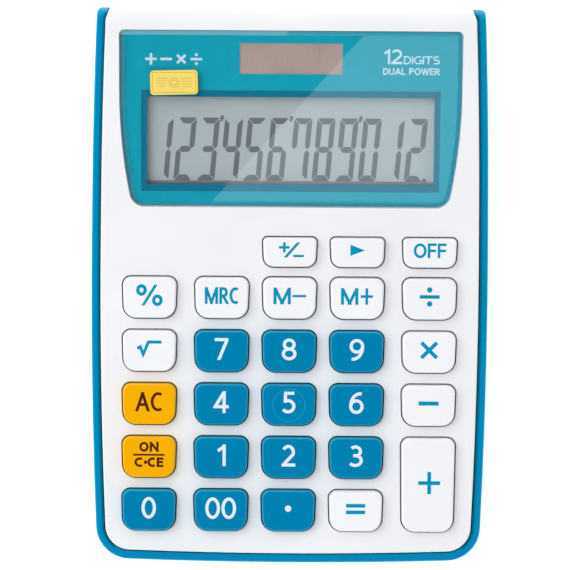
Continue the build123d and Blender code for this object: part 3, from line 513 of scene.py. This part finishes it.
BOWL_OF_P = [(0, 1), (0.24, 1)] + arc(0.26, 0.74, 0.28, 0.26, 90, -90) + [(0.0, 0.48)]
BOWL_OF_D = [(0, 1), (0.22, 1)] + arc(0.22, 0.5, 0.40, 0.5, 90, -90) + [(0, 0)]
GLYPHS = {
    "0": (0.62, oval(0.31, 0.5, 0.31, 0.5)),
    "1": (0.32, stem(0.32) + curve([(0.0, 0.74), (0.32, 0.97)])),
    "2": (0.60, curve(arc(0.29, 0.69, 0.29, 0.31, 155, -25) + [(0.06, 0.07)]) + beam(0, 0.0, 0.6)),
    "3": (0.58, curve(arc(0.26, 0.755, 0.27, 0.245, 140, -85))
          + curve(arc(0.25, 0.265, 0.33, 0.265, 85, -145))
          + curve([(0.14, 0.525), (0.3, 0.525)])),
    "4": (0.62, slant(0.03, 0.42, 0.28) + beam(0.26, 0.02, 0.60) + stem(0.45)),
    "5": (0.59, beam(1, 0.11, 0.52) + curve([(0.11, 1.0), (0.08, 0.50)])
          + curve(arc(0.25, 0.30, 0.34, 0.30, 122, -145))),
    "6": (0.62, oval(0.31, 0.31, 0.31, 0.31) + curve(arc(0.5, 0.33, 0.5, 0.67, 80, 184))),
    "7": (0.60, beam(1, 0.0, 0.60) + slant(0.18, 0.56, 0.0, 0.86)),
    "8": (0.62, oval(0.31, 0.76, 0.26, 0.24) + oval(0.31, 0.26, 0.31, 0.26)),
    "9": (0.62, oval(0.31, 0.69, 0.31, 0.31) + curve(arc(0.12, 0.67, 0.5, 0.67, -100, 4))),
    "A": (0.76, slant(0.0, 0.38) + slant(0.76, 0.38) + curve([(0.14, 0.32), (0.62, 0.32)])),
    "C": (0.62, curve(arc(0.42, 0.5, 0.42, 0.5, 58, 302))),
    "D": (0.62, stem(0) + curve(BOWL_OF_D)),
    "E": (0.46, stem(0) + beam(1, 0, 0.46) + beam(0.52, 0, 0.42) + beam(0, 0, 0.46)),
    "F": (0.46, stem(0) + beam(1, 0, 0.46) + beam(0.5, 0, 0.42)),
    "G": (0.72, curve(arc(0.42, 0.5, 0.42, 0.5, 55, 305) + [(0.72, 0.15), (0.72, 0.47), (0.45, 0.47)])),
    "I": (0.0, stem(0)),
    "L": (0.44, stem(0) + beam(0, 0, 0.44)),
    "M": (1.0, stem(0) + stem(1.0) + slant(0.5, 0.03) + slant(0.5, 0.97)),
    "N": (0.70, stem(0) + stem(0.70) + slant(0.67, 0.03)),
    "O": (0.76, oval(0.38, 0.5, 0.38, 0.5)),
    "P": (0.54, stem(0) + curve(BOWL_OF_P)),
    "R": (0.58, stem(0) + curve(BOWL_OF_P) + slant(0.58, 0.27, 0.0, 0.44)),
    "S": (0.56, curve(arc(0.28, 0.75, 0.27, 0.25, 38, 270) + arc(0.28, 0.25, 0.28, 0.25, 90, -142)[1:])),
    "T": (0.66, stem(0.33) + beam(1, 0, 0.66)),
    "U": (0.64, [(square, [(0, 1)] + arc(0.32, 0.32, 0.32, 0.32, 180, 360) + [(0.64, 1)])]),
    "W": (1.08, slant(0.27, 0) + slant(0.27, 0.54) + slant(0.81, 0.54) + slant(0.81, 1.08)),
    " ": (0.2, []),
}


LETTER_GAP = 0.45  # of the stroke
INK_THICKNESS = 0.02


def words(text, height, width, stroke, x=0.0, y=0.0):
    """Drawn text, centred on x and y, with capitals this high; the whole is as wide as given."""
    unit = height - stroke
    gap = LETTER_GAP * stroke
    natural = sum(GLYPHS[letter][0] * unit + stroke for letter in text) + gap * (len(text) - 1)
    fixed = stroke * len(text) + gap * (len(text) - 1)
    stretch = (width - fixed) / (natural - fixed) if natural > fixed else 1.0
    shape = []
    left = x - width / 2 + stroke / 2
    for letter in text:
        glyph_width, strokes = GLYPHS[letter]
        for kind, points in strokes:
            placed = [(left + u * unit * stretch, y + (v - 0.5) * unit) for u, v in points]
            shape += kind(placed, stroke)
        left += glyph_width * unit * stretch + stroke + gap
    return shape


def anticlockwise(outline):
    """The outline in the order that marks its inside as covered."""
    ends = outline[1:] + outline[:1]
    turning = sum(a[0] * b[1] - b[0] * a[1] for a, b in zip(outline, ends))
    return outline if turning > 0 else outline[::-1]


def printed(name, shape, place, material, thickness=INK_THICKNESS, drop=None):
    """One thin raised mesh over the area that the outlines cover.

    Its thickness is in millimetres, and drop(u, v) sinks it into a dished face.
    """
    points, faces = [], []
    for outline in shape:
        outline = anticlockwise(outline)
        faces.append(list(range(len(points), len(points) + len(outline))))
        points += [Vector(point) for point in outline]
    corners, _, triangles, _, _, owners = delaunay_2d_cdt(points, [], faces, 0, 1e-4)
    kept = [tuple(triangle) for triangle, owner in zip(triangles, owners) if owner]
    mesh = bmesh.new()
    lower, upper = {}, {}
    for index in sorted({corner for triangle in kept for corner in triangle}):
        u, v = corners[index]
        sunk = drop(u, v) if drop else 0.0
        lower[index] = mesh.verts.new((u * MM, v * MM, -sunk * MM))
        upper[index] = mesh.verts.new((u * MM, v * MM, (thickness - sunk) * MM))
    sides = {(a[i], a[(i + 1) % 3]) for a in kept for i in range(3)}
    for a, b, c in kept:
        mesh.faces.new((upper[a], upper[b], upper[c]))
        mesh.faces.new((lower[c], lower[b], lower[a]))
    for a, b in sorted(side for side in sides if side[::-1] not in sides):
        mesh.faces.new((lower[a], lower[b], upper[b], upper[a]))
    return finish_mesh(name, mesh, place, material)


def finish_mesh(name, mesh, place, material):
    """Put a mesh at its place in the scene, with its material."""
    mesh.transform(place)
    data = bpy.data.meshes.new(name)
    mesh.to_mesh(data)
    mesh.free()
    data.materials.append(material)
    piece = bpy.data.objects.new(name, data)
    bpy.context.scene.collection.objects.link(piece)
    return piece


# ---------------------------------------------------------------- key legends
TEAL_INK = ink("teal_ink", LEGEND_TEAL)
WHITE_INK = ink("white_ink", LEGEND_WHITE)
BROWN_INK = ink("brown_ink", LEGEND_BROWN)
FIGURE_HEIGHT = 4.75
FIGURE_STROKE = 0.68
FIGURE_WIDTHS = (3.15, 2.05, 2.95, 3.0, 3.45, 2.9, 3.15, 2.95, 3.2, 3.17)  # of 0 to 9
LEGEND_RISE = 0.58  # the legends sit a little to the rear of each key's middle
DISH_RADIUS = 3.5  # of the home key's dish, as in the frame
DISH_DEPTH = 0.15


def dish(u, v):
    """How deep the home key's dish is below a point of its legend."""
    v += LEGEND_RISE
    return max(0.0, DISH_DEPTH * (1 - (u * u + v * v) / DISH_RADIUS**2))


def on_clear():
    """ON above a rule, and C, a point and CE below it."""
    upper = words("ON", 2.15, 4.2, 0.5, 0, 1.75)
    lower = words("C", 2.1, 1.85, 0.5, -2.2, -1.62) + words("CE", 2.1, 3.45, 0.5, 1.42, -1.62)
    return upper + bar(6.75, 0.38) + lower + disc(0.38, -0.72, -1.62)


LEGENDS = {
    "key_" + str(number): words(str(number), FIGURE_HEIGHT, width, FIGURE_STROKE)
    for number, width in enumerate(FIGURE_WIDTHS)
}
LEGENDS.update({
    "key_00": words("00", FIGURE_HEIGHT, 6.7, FIGURE_STROKE),
    "key_point": disc(0.7),
    "key_off": words("OFF", 3.2, 7.1, 0.56),
    "key_percent": percent(),
    "key_memory_recall": words("MRC", 3.65, 7.35, 0.6),
    "key_memory_minus": words("M", 3.6, 3.75, 0.66, -1.6) + bar(2.95, 0.52, 2.1),
    "key_memory_plus": words("M", 3.6, 3.75, 0.66, -1.65) + plus(2.65, 3.55, 0.58, 2.05),
    "key_plus_minus": plus_minus(),
    "key_backspace": arrow(),
    "key_divide": divide(4.3, 0.76, 1.52, 0.59),
    "key_square_root": square_root(),
    "key_multiply": times(3.35, 0.82),
    "key_minus": bar(4.35, 0.88),
    "key_plus": plus(4.75, 4.85, 0.82, 0.3),
    "key_equals": bar(4.2, 0.8, 0, 0.72) + bar(4.2, 0.8, 0, -0.72),
    "key_all_clear": words("AC", 4.2, 5.8, 0.62),
    "key_on_clear": on_clear(),
})
INKS = {"white_keys": TEAL_INK, "blue_keys": WHITE_INK, "yellow_keys": BROWN_INK}
NODE_SLOTS = {part["node"]: part["material_slot"] for part in frame["record"]["subparts"]}
for key, shape in LEGENDS.items():
    slot = NODE_SLOTS[key]
    dished = dish if key == "key_5" else None
    place = face_frame(key) @ Matrix.Translation((0, LEGEND_RISE * MM, 0))
    legend = printed("legend_" + key[4:], shape, place, INKS[slot], drop=dished)
    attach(legend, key)

# A pale ring painted along the home key's dish rim: a painted highlight of the rim's edge.
RING_STROKE = 0.14
RING_THICKNESS = 0.015
home_ring = ring(0, 0, DISH_RADIUS, RING_STROKE)
dish_rim_highlight_paint = ink("ring_blue", BLUE_EDGE_HIGHLIGHT)
rim_of_dish = printed("home_ring", home_ring, face_frame("key_5"), dish_rim_highlight_paint, RING_THICKNESS)
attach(rim_of_dish, "key_5")


# ---------------------------------------------------------------- the display
SEGMENTS = {
    "0": "abcdef",
    "1": "bc",
    "2": "abged",
    "3": "abgcd",
    "4": "fgbc",
    "5": "afgcd",
    "6": "afgedc",
    "7": "fabc",
    "8": "abcdefg",
    "9": "abcdfg",
}
DIGIT_WIDTH = 2.81
DIGIT_HEIGHT = 12.5
DIGIT_STROKE = 1.1
CROSS_STROKE = 1.32
DIGIT_PITCH = 4.99
DIGIT_SLANT = math.tan(math.radians(5.2))
SEGMENT_GAP = 0.09
BEVEL_TOP = (0.3, 0.0)  # a level segment's bevel, in from the figure's corner and down
BEVEL_FOOT = (0.1, 0.2)
UPRIGHT_TIP = (0.12, 0.25)  # an upright segment's tip and shoulder, in from the figure's corner and down
UPRIGHT_SHOULDER = (0.0, 0.5)
DISPLAY_TEXT = "123456789012"
TICK_AFTER = (2, 5, 8)  # the figures, from the left, that a thousands tick follows
TICK = [(-0.3, -0.65), (0.05, -0.65), (0.45, 0.1), (0.4, 0.6), (0.1, 0.75), (-0.25, 0.6), (-0.35, 0.2)]
TICK_SHIFT = 0.45  # right of the middle between two figures, and above their tops
POINT_RADIUS = 0.58
POINT_SHIFT = (1.85, 0.55)  # right of the last figure's middle, and below its foot
DISPLAY_MIDDLE_Y = -2.15
LAST_DIGIT_X = 27.1
WINDOW_MIDDLE = 0.8  # the window's middle from the glass's middle, up the slope
MAUVE_BAND_Y = -9.4  # along the window's front edge
MAUVE_BAND_SIZE = (64.0, 0.6)
MAUVE_BAND_THICKNESS = 0.1


def segment(letter):
    """One segment of a figure, with pointed or mitred ends, as an outline about the figure's middle."""
    half, top, gap = DIGIT_WIDTH / 2, DIGIT_HEIGHT / 2, SEGMENT_GAP
    side, cross = DIGIT_STROKE / 2, CROSS_STROKE / 2
    inner, outer, peak = half - side, half + side, top + cross
    if letter == "g":
        right = [(inner - gap, -cross), (half - gap, 0), (inner - gap, cross)]
        return right + [(-u, -v) for u, v in right]
    if letter in "ad":
        bevel = [(outer - gap - along, peak - down) for along, down in (BEVEL_FOOT, BEVEL_TOP)]
        right = [(inner - gap, top - cross)] + bevel
        upper = right + [(-u, v) for u, v in right[::-1]]
        return upper if letter == "a" else [(u, -v) for u, v in upper]
    tip, shoulder = [(outer - along, peak - gap - down) for along, down in (UPRIGHT_TIP, UPRIGHT_SHOULDER)]
    foot = [(inner, cross + gap), (half, gap), (outer, cross + gap)]
    upright = [tip, (inner, top - cross - gap)] + foot + [shoulder]
    flip_x = -1 if letter in "fe" else 1
    flip_y = -1 if letter in "ce" else 1
    return [(u * flip_x, v * flip_y) for u, v in upright]


def leaned(outline, x, y):
    """A figure's outline moved to x and y, and slanted to the right."""
    return [(x + u + v * DIGIT_SLANT, y + v) for u, v in outline]


def display_marks():
    """Twelve figures with thousands ticks and a closing point."""
    marks = []
    head = DISPLAY_MIDDLE_Y + DIGIT_HEIGHT / 2
    foot = DISPLAY_MIDDLE_Y - DIGIT_HEIGHT / 2
    for index, figure in enumerate(DISPLAY_TEXT):
        x = LAST_DIGIT_X - (len(DISPLAY_TEXT) - 1 - index) * DIGIT_PITCH
        marks += [leaned(segment(letter), x, DISPLAY_MIDDLE_Y) for letter in SEGMENTS[figure]]
        if index in TICK_AFTER:
            tick_x = x + DIGIT_PITCH / 2 + TICK_SHIFT
            marks.append([(tick_x + u, head + TICK_SHIFT + v) for u, v in TICK])
    right, down = POINT_SHIFT
    return marks + disc(POINT_RADIUS, LAST_DIGIT_X + right, foot - down, 16)


WINDOW_PLACE = face_frame("lcd_front_film") @ Matrix.Translation((0, WINDOW_MIDDLE * MM, 0))
LCD_INK_FINISH = ink("lcd_ink", LCD_INK, 0.5)
marks = printed("display_figures", display_marks(), WINDOW_PLACE, LCD_INK_FINISH)
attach(marks, "case")

# A thin mauve strip laid on the LCD face along the window's front edge.
mauve_band_outline = bar(*MAUVE_BAND_SIZE, 0, MAUVE_BAND_Y)
MAUVE_BAND_FINISH = rubber("mauve_band", MAUVE_BAND_COLOUR)
mauve_band = printed("window_mauve_band", mauve_band_outline, WINDOW_PLACE, MAUVE_BAND_FINISH, MAUVE_BAND_THICKNESS)
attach(mauve_band, "case")


# ---------------------------------------------------------------- print behind the window
PRINT_LIFT = 0.004  # of the pale print off the teal film
PRINT_THICKNESS = 0.012
EMBLEM_PLACE = (-25.2, 12.85)  # from the film's middle
CAPTIONS_PLACE = (25.85, 12.3)
SIGN_STEP = 3.25
SIGN_SIZE = 2.5
SIGN_STROKE = 0.55
TIMES_SIZE = 0.72 * SIGN_SIZE
SIGN_DOT_RISE = 0.95
SIGN_DOT_RADIUS = 0.33


def emblem():
    """The four signs of arithmetic in a row."""
    signs = plus(SIGN_SIZE, SIGN_SIZE, SIGN_STROKE, -1.5 * SIGN_STEP)
    signs += bar(SIGN_SIZE, SIGN_STROKE, -0.5 * SIGN_STEP)
    signs += times(TIMES_SIZE, SIGN_STROKE, 0.5 * SIGN_STEP)
    return signs + divide(SIGN_SIZE, SIGN_STROKE, SIGN_DOT_RISE, SIGN_DOT_RADIUS, 1.5 * SIGN_STEP)


def captions():
    """The number of digits, large, with two lines of small capitals."""
    upper = words("12", 3.25, 4.1, 0.5, -4.05, 1.35) + words("DIGITS", 1.78, 7.75, 0.28, 2.2, 0.62)
    return upper + words("DUAL POWER", 1.5, 12.15, 0.27, 0.0, -1.85)


PALE_INK = ink("pale_ink", PALE_PRINT, 0.4)
PRINT_PLACE = face_frame("display_print")
for name, shape, place in (
    ("arithmetic_emblem", emblem(), EMBLEM_PLACE),
    ("window_captions", captions(), CAPTIONS_PLACE),
):
    x, y = place
    lifted = PRINT_PLACE @ Matrix.Translation((x * MM, y * MM, PRINT_LIFT * MM))
    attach(printed(name, shape, lifted, PALE_INK, PRINT_THICKNESS), "case")

# ---------------------------------------------------------------- lines pressed into the foil
SEAL_THICKNESS = 0.01
SEAL_BORDER = (9.3, 4.3)
SEAL_BORDER_STROKE = 0.12
SEAL_RINGS = (1.0, 0.55)
SEAL_RING_STROKE = 0.16
SEAL_RULES = 4
SEAL_RULE_LENGTH = 2.6
SEAL_RULE_TAPER = 0.25
SEAL_RULE_SHIFT = 0.12
SEAL_RULE_STROKE = 0.14
SEAL_RULE_TOP = 0.9
SEAL_RULE_STEP = 0.6


def seal_lines():
    """A fine border, two small rings and short rules pressed into the foil."""
    width, height = SEAL_BORDER
    lines = []
    for side in (-1, 1):
        lines += bar(width, SEAL_BORDER_STROKE, 0, side * height / 2)
        lines += bar(SEAL_BORDER_STROKE, height, side * width / 2)
    for radius in SEAL_RINGS:
        lines += ring(0, 0, radius, SEAL_RING_STROKE)
    for row in range(SEAL_RULES):
        rule = SEAL_RULE_LENGTH - SEAL_RULE_TAPER * row
        middle = SEAL_RULE_LENGTH + SEAL_RULE_SHIFT * row
        for side in (-1, 1):
            lines += bar(rule, SEAL_RULE_STROKE, side * middle, SEAL_RULE_TOP - SEAL_RULE_STEP * row)
    return lines


SEAL_SHADE = foil("foil_shade", FOIL_SHADE)
SEAL_PLACE = face_frame("foil_seal")
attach(printed("seal_lines", seal_lines(), SEAL_PLACE, SEAL_SHADE, SEAL_THICKNESS), "case")


# ---------------------------------------------------------------- the painted shade line inside the rim
RIM_SHADE_WIDTH = 0.46 * MM
RIM_SHADE_HEIGHT = 0.012 * MM
RIM_INSIDE_X = 38.0 * MM  # the rim lies further out than this, or further forward than the next
RIM_INSIDE_Y = -66.0 * MM
RIM_LOWEST = 6.0 * MM
NEARLY_LEVEL = 0.8  # the least rise of a level face's normal
NEARLY_UPRIGHT = 0.2  # the most rise of a wall's normal


def rim_corners(shell):
    """The edges where the tray's rim turns down into its inner wall, with the normals on both sides."""
    corners = []
    for edge in shell.edges:
        middle = (edge.verts[0].co + edge.verts[1].co) / 2
        outside = abs(middle.x) > RIM_INSIDE_X or middle.y < RIM_INSIDE_Y
        if outside and middle.z > RIM_LOWEST and len(edge.link_faces) == 2:
            wall, rim = sorted((face.normal for face in edge.link_faces), key=lambda normal: normal.z)
            faces_inward = wall.to_2d().dot(middle.to_2d()) < 0
            if faces_inward and rim.z > NEARLY_LEVEL and abs(wall.z) < NEARLY_UPRIGHT:
                corners.append((edge, wall, rim))
    return corners


def rim_line():
    """A thin dark band along the rim's inner edge: painted shade standing for the groove between the cover and the
    rim.
    """
    shell = bmesh.new()
    shell.from_mesh(NODES["bottom_shell"].data)
    bmesh.ops.remove_doubles(shell, verts=shell.verts, dist=1e-7)
    corners = rim_corners(shell)
    inward, upward = {}, {}
    for edge, wall, rim in corners:
        for vertex in edge.verts:
            inward[vertex] = inward.get(vertex, Vector()) + wall
            upward[vertex] = upward.get(vertex, Vector()) + rim
    band = bmesh.new()
    sections = {}
    for vertex, up in upward.items():
        rise = up.normalized() * RIM_SHADE_HEIGHT
        across = -inward[vertex]
        across -= up.normalized() * across.dot(up.normalized())
        across = across.normalized() * RIM_SHADE_WIDTH
        across.y = min(across.y, CAD_BOX[1][1] - vertex.co.y)  # the band ends level with the rear wall
        places = (Vector(), across, across + rise, rise)
        sections[vertex] = [band.verts.new(vertex.co + place) for place in places]
    for edge, _, _ in corners:
        first, second = (sections[vertex] for vertex in edge.verts)
        for index in range(4):
            after = (index + 1) % 4
            band.faces.new((first[index], first[after], second[after], second[index]))
    bmesh.ops.holes_fill(band, edges=band.edges, sides=4)
    bmesh.ops.recalc_face_normals(band, faces=band.faces)
    shell.free()
    return band


# painted shade: a dark blue sheet laid where the groove is in shade
RIM_SHADE_PAINT = ink("rim_shade", RIM_SHADE, 0.5)
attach(finish_mesh("rim_line", rim_line(), Matrix.Identity(4), RIM_SHADE_PAINT), "case")


# ---------------------------------------------------------------- the keypad's domes
def islands_of(mesh):
    """The vertices of each separate piece of a mesh, in the order of the pieces' first vertices."""
    waiting = set(mesh.verts)
    islands = []
    for start in mesh.verts:
        if start not in waiting:
            continue
        waiting.discard(start)
        island = {start}
        reached = [start]
        while reached:
            vertex = reached.pop()
            for edge in vertex.link_edges:
                other = edge.other_vert(vertex)
                if other in waiting:
                    waiting.discard(other)
                    island.add(other)
                    reached.append(other)
        islands.append(island)
    return islands


def split_domes():
    """Cut the mat's domes into one piece each."""
    whole = bmesh.new()
    whole.from_mesh(NODES["keypad_domes"].data)
    bmesh.ops.remove_doubles(whole, verts=whole.verts, dist=1e-6)
    domes = []
    for island in islands_of(whole):
        one = bmesh.new()
        copies = {vertex: one.verts.new(vertex.co) for vertex in sorted(island, key=lambda v: v.index)}
        faces = {face for vertex in island for face in vertex.link_faces}
        for face in sorted(faces, key=lambda f: f.index):
            one.faces.new([copies[vertex] for vertex in face.verts])
        domes.append(one)
    whole.free()
    return domes


MAT_RUBBER = rubber("mat_rubber", MAT_GREY)
PRESS = {joint["child"]: joint for joint in frame["joints"] if joint["name"].endswith("_press")}
DECK_UP = -Vector(next(iter(PRESS.values()))["axis"])
DOME_INSET = 4 * MM  # how far inside its key's outline a dome's middle lies, at least


def sideways(point, key):
    """How far a point lies, in plan, from the part of a key that presses on domes."""
    low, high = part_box(key)
    nearest = [min(max(point[axis], low[axis] + DOME_INSET), high[axis] - DOME_INSET) for axis in range(2)]
    return (Vector(nearest) - point.to_2d()).length


for number, dome in enumerate(split_domes()):
    middle = sum((vertex.co for vertex in dome.verts), Vector()) / len(dome.verts)
    nearness = {key: sideways(middle, key) for key in PRESS}
    presser = min(nearness, key=nearness.get)
    piece = finish_mesh("dome_%02d" % number, dome, Matrix.Identity(4), MAT_RUBBER)
    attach(piece, "case")
    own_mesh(piece)
    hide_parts("keypad_domes")


# ---------------------------------------------------------------- finishes of the CAD nodes
def nodes_in(slot):
    return [node for node, own_slot in NODE_SLOTS.items() if own_slot == slot]


FEET = ["foot_front_left", "foot_front_right", "foot_rear_left", "foot_rear_right"]
TRAY_GLOSS = (0.3, 0.4)  # least and most roughness
KEY_GLOSS = (0.33, 0.42)
BLUE_PLASTIC = moulded_plastic("blue_plastic", BLUE_TRAY, TRAY_GLOSS, edge=BLUE_EDGE_HIGHLIGHT)
STEEL = metal("zinc_steel", STEEL_GREY, (0.25, 0.4), "X")
NICKEL = metal("nickel", NICKEL_GREY, (0.18, 0.3), "Z")
LCD_GLASS = Shader("lcd_glass", 0.05, IOR=1.52, Transmission_Weight=1.0)
LCD_GLASS.uneven_gloss(0.03, 0.08, 200.0)
FINISHES = [
    (["top_shell"], cover_plastic()),
    (["bottom_shell", "battery_door"], BLUE_PLASTIC),
    (nodes_in("white_keys"), moulded_plastic("white_key_plastic", WHITE_KEY, KEY_GLOSS, edge=WHITE_EDGE_HIGHLIGHT)),
    (nodes_in("blue_keys"), moulded_plastic("blue_key_plastic", BLUE_KEY, KEY_GLOSS, edge=BLUE_EDGE_HIGHLIGHT)),
    (nodes_in("yellow_keys"), moulded_plastic("yellow_key_plastic", YELLOW_KEY, KEY_GLOSS, edge=YELLOW_EDGE_HIGHLIGHT)),
    (["display_lens"], clear_window()),
    (["display_print"], printed_film()),
    (["foil_seal"], foil("foil", FOIL_GOLD)),
    (["display_bezel"], moulded_plastic("bezel_plastic", BEZEL_BLUE, (0.35, 0.45), edge=BEZEL_EDGE_HIGHLIGHT)),
    (["lcd_front_film"], lcd_face()),
    (["lcd_front_glass", "lcd_rear_glass"], LCD_GLASS.material),
    (["lcd_reflector"], metal("reflector_foil", REFLECTOR_GREY, (0.4, 0.5), "X")),
    (["contact_strip"], rubber("strip_rubber", STRIP_BLACK)),
    (["solar_cell"], solar_face()),
    (["display_board", "main_board"], circuit_board()),
    (["keypad_mat", "keypad_domes"], MAT_RUBBER),
    (["chip_cover"], moulded_plastic("epoxy", EPOXY_BLACK, (0.15, 0.3), 700.0)),
    (["capacitor"], moulded_plastic("capacitor_sleeve", SLEEVE_NAVY, (0.2, 0.3), 900.0)),
    (["resistors"], moulded_plastic("resistor_body", RESISTOR_BLACK, (0.3, 0.5), 2000.0)),
    (["ribbon_cable"], moulded_plastic("ribbon_plastic", RIBBON_BEIGE, (0.35, 0.5), 1200.0)),
    (["solar_wires", "battery_wires"], moulded_plastic("wire_sleeve", WIRE_RED, (0.3, 0.45), 1200.0)),
    (["battery_cell"], metal("cell_steel", CELL_GREY, (0.2, 0.35), "X")),
    (["contact_side", "contact_top"], NICKEL),
    (["case_screws", "board_screws", "display_screws"], STEEL),
    (FEET, rubber("foot_rubber", FOOT_BLACK)),
]
for nodes, material in FINISHES:
    for node in nodes:
        NODES[node].data.materials.clear()
        NODES[node].data.materials.append(material)


# ---------------------------------------------------------------- studio
FLOOR_HALF_SIZE = 1.5
TENT_GLOW = 0.96
OVERHEAD_GLOW = 0.12
OVERHEAD_PATCH = (22, 42)  # degrees from straight up, where the dark patch starts to fade and where it ends
KEY_LIGHT_PLACE = (-0.68, 0.3, 1.1)
KEY_LIGHT_SIZE = 1.2
KEY_LIGHT_POWER = 10.9
CARD_DISTANCE = 0.9
CARD_SIZE = 0.36
CARD_LEAN = math.radians(42.1)
CARD_EDGE_X = -1.7 * MM  # where the card's edge crosses the window's middle line in the mirror image
CARD_POWER = 0.42
CARD_COLOUR = (0.8, 1.0, 1.0)
CAMERA_PLACE = Vector((-1.0 * MM, 0.55 * MM, 0.8))
CAMERA_LENS = 228.6
CAMERA_ROLL = math.radians(0.38)


def studio_floor():
    mesh = bmesh.new()
    bmesh.ops.create_grid(mesh, x_segments=8, y_segments=8, size=FLOOR_HALF_SIZE)
    data = bpy.data.meshes.new("studio_floor")
    mesh.to_mesh(data)
    mesh.free()
    data.materials.append(studio_paper())
    floor = bpy.data.objects.new("studio_floor", data)
    bpy.context.scene.collection.objects.link(floor)


def studio_sky():
    """White tent with a darker patch straight overhead, so that level faces keep their full colour."""
    world = bpy.data.worlds.new("studio")
    world.use_nodes = True
    tree = world.node_tree
    background = tree.nodes["Background"]
    background.inputs["Color"].default_value = (1.0, 1.0, 1.0, 1.0)
    direction = tree.nodes.new("ShaderNodeTexCoord").outputs["Generated"]
    axes = tree.nodes.new("ShaderNodeSeparateXYZ")
    tree.links.new(direction, axes.inputs[0])
    ramp = tree.nodes.new("ShaderNodeMapRange")
    ramp.interpolation_type = "SMOOTHSTEP"
    tree.links.new(axes.outputs["Z"], ramp.inputs["Value"])
    inner, outer = OVERHEAD_PATCH
    for name, number in (
        ("From Min", math.cos(math.radians(outer))),
        ("From Max", math.cos(math.radians(inner))),
        ("To Min", TENT_GLOW),
        ("To Max", OVERHEAD_GLOW),
    ):
        ramp.inputs[name].default_value = number
    tree.links.new(ramp.outputs["Result"], background.inputs["Strength"])
    bpy.context.scene.world = world


def area_light(name, size, power, colour=(1.0, 1.0, 1.0)):
    """A square lamp, still to be placed."""
    light = bpy.data.lights.new(name, "AREA")
    light.size = size
    light.energy = power
    light.color = colour
    lamp = bpy.data.objects.new(name, light)
    bpy.context.scene.collection.objects.link(lamp)
    return lamp


def key_light():
    """A broad soft lamp up on the left, aimed at the middle of the object."""
    lamp = area_light("key_light", KEY_LIGHT_SIZE, KEY_LIGHT_POWER)
    lamp.location = KEY_LIGHT_PLACE
    lamp.rotation_euler = (-Vector(KEY_LIGHT_PLACE)).to_track_quat("-Z", "Y").to_euler()


def glare_card():
    """A square white card that the window mirrors on the right of a slanting line."""
    window = face_frame("display_lens")
    normal = window.to_3x3() @ Vector((0, 0, 1))
    arrive = (window.translation - CAMERA_PLACE).normalized()
    leave = arrive - 2 * arrive.dot(normal) * normal
    upward = leave.cross(Vector((1, 0, 0))).normalized()
    across = upward.cross(leave)
    side = across * math.cos(CARD_LEAN) - upward * math.sin(CARD_LEAN)
    edge = window.translation + leave * CARD_DISTANCE + across * CARD_EDGE_X
    turned = Matrix((side, leave.cross(side), leave)).transposed().to_4x4()
    turned.translation = edge + side * CARD_SIZE / 2
    area_light("glare_card", CARD_SIZE, CARD_POWER, CARD_COLOUR).matrix_world = turned


def overhead_camera():
    data = bpy.data.cameras.new("camera")
    data.lens = CAMERA_LENS
    data.clip_start, data.clip_end = 0.01, 10.0
    camera = bpy.data.objects.new("camera", data)
    camera.location = CAMERA_PLACE
    camera.rotation_euler = (0.0, 0.0, CAMERA_ROLL)
    bpy.context.scene.collection.objects.link(camera)
    bpy.context.scene.camera = camera


studio_floor()
studio_sky()
key_light()
glare_card()
overhead_camera()
bpy.context.scene.view_settings.view_transform = "Standard"
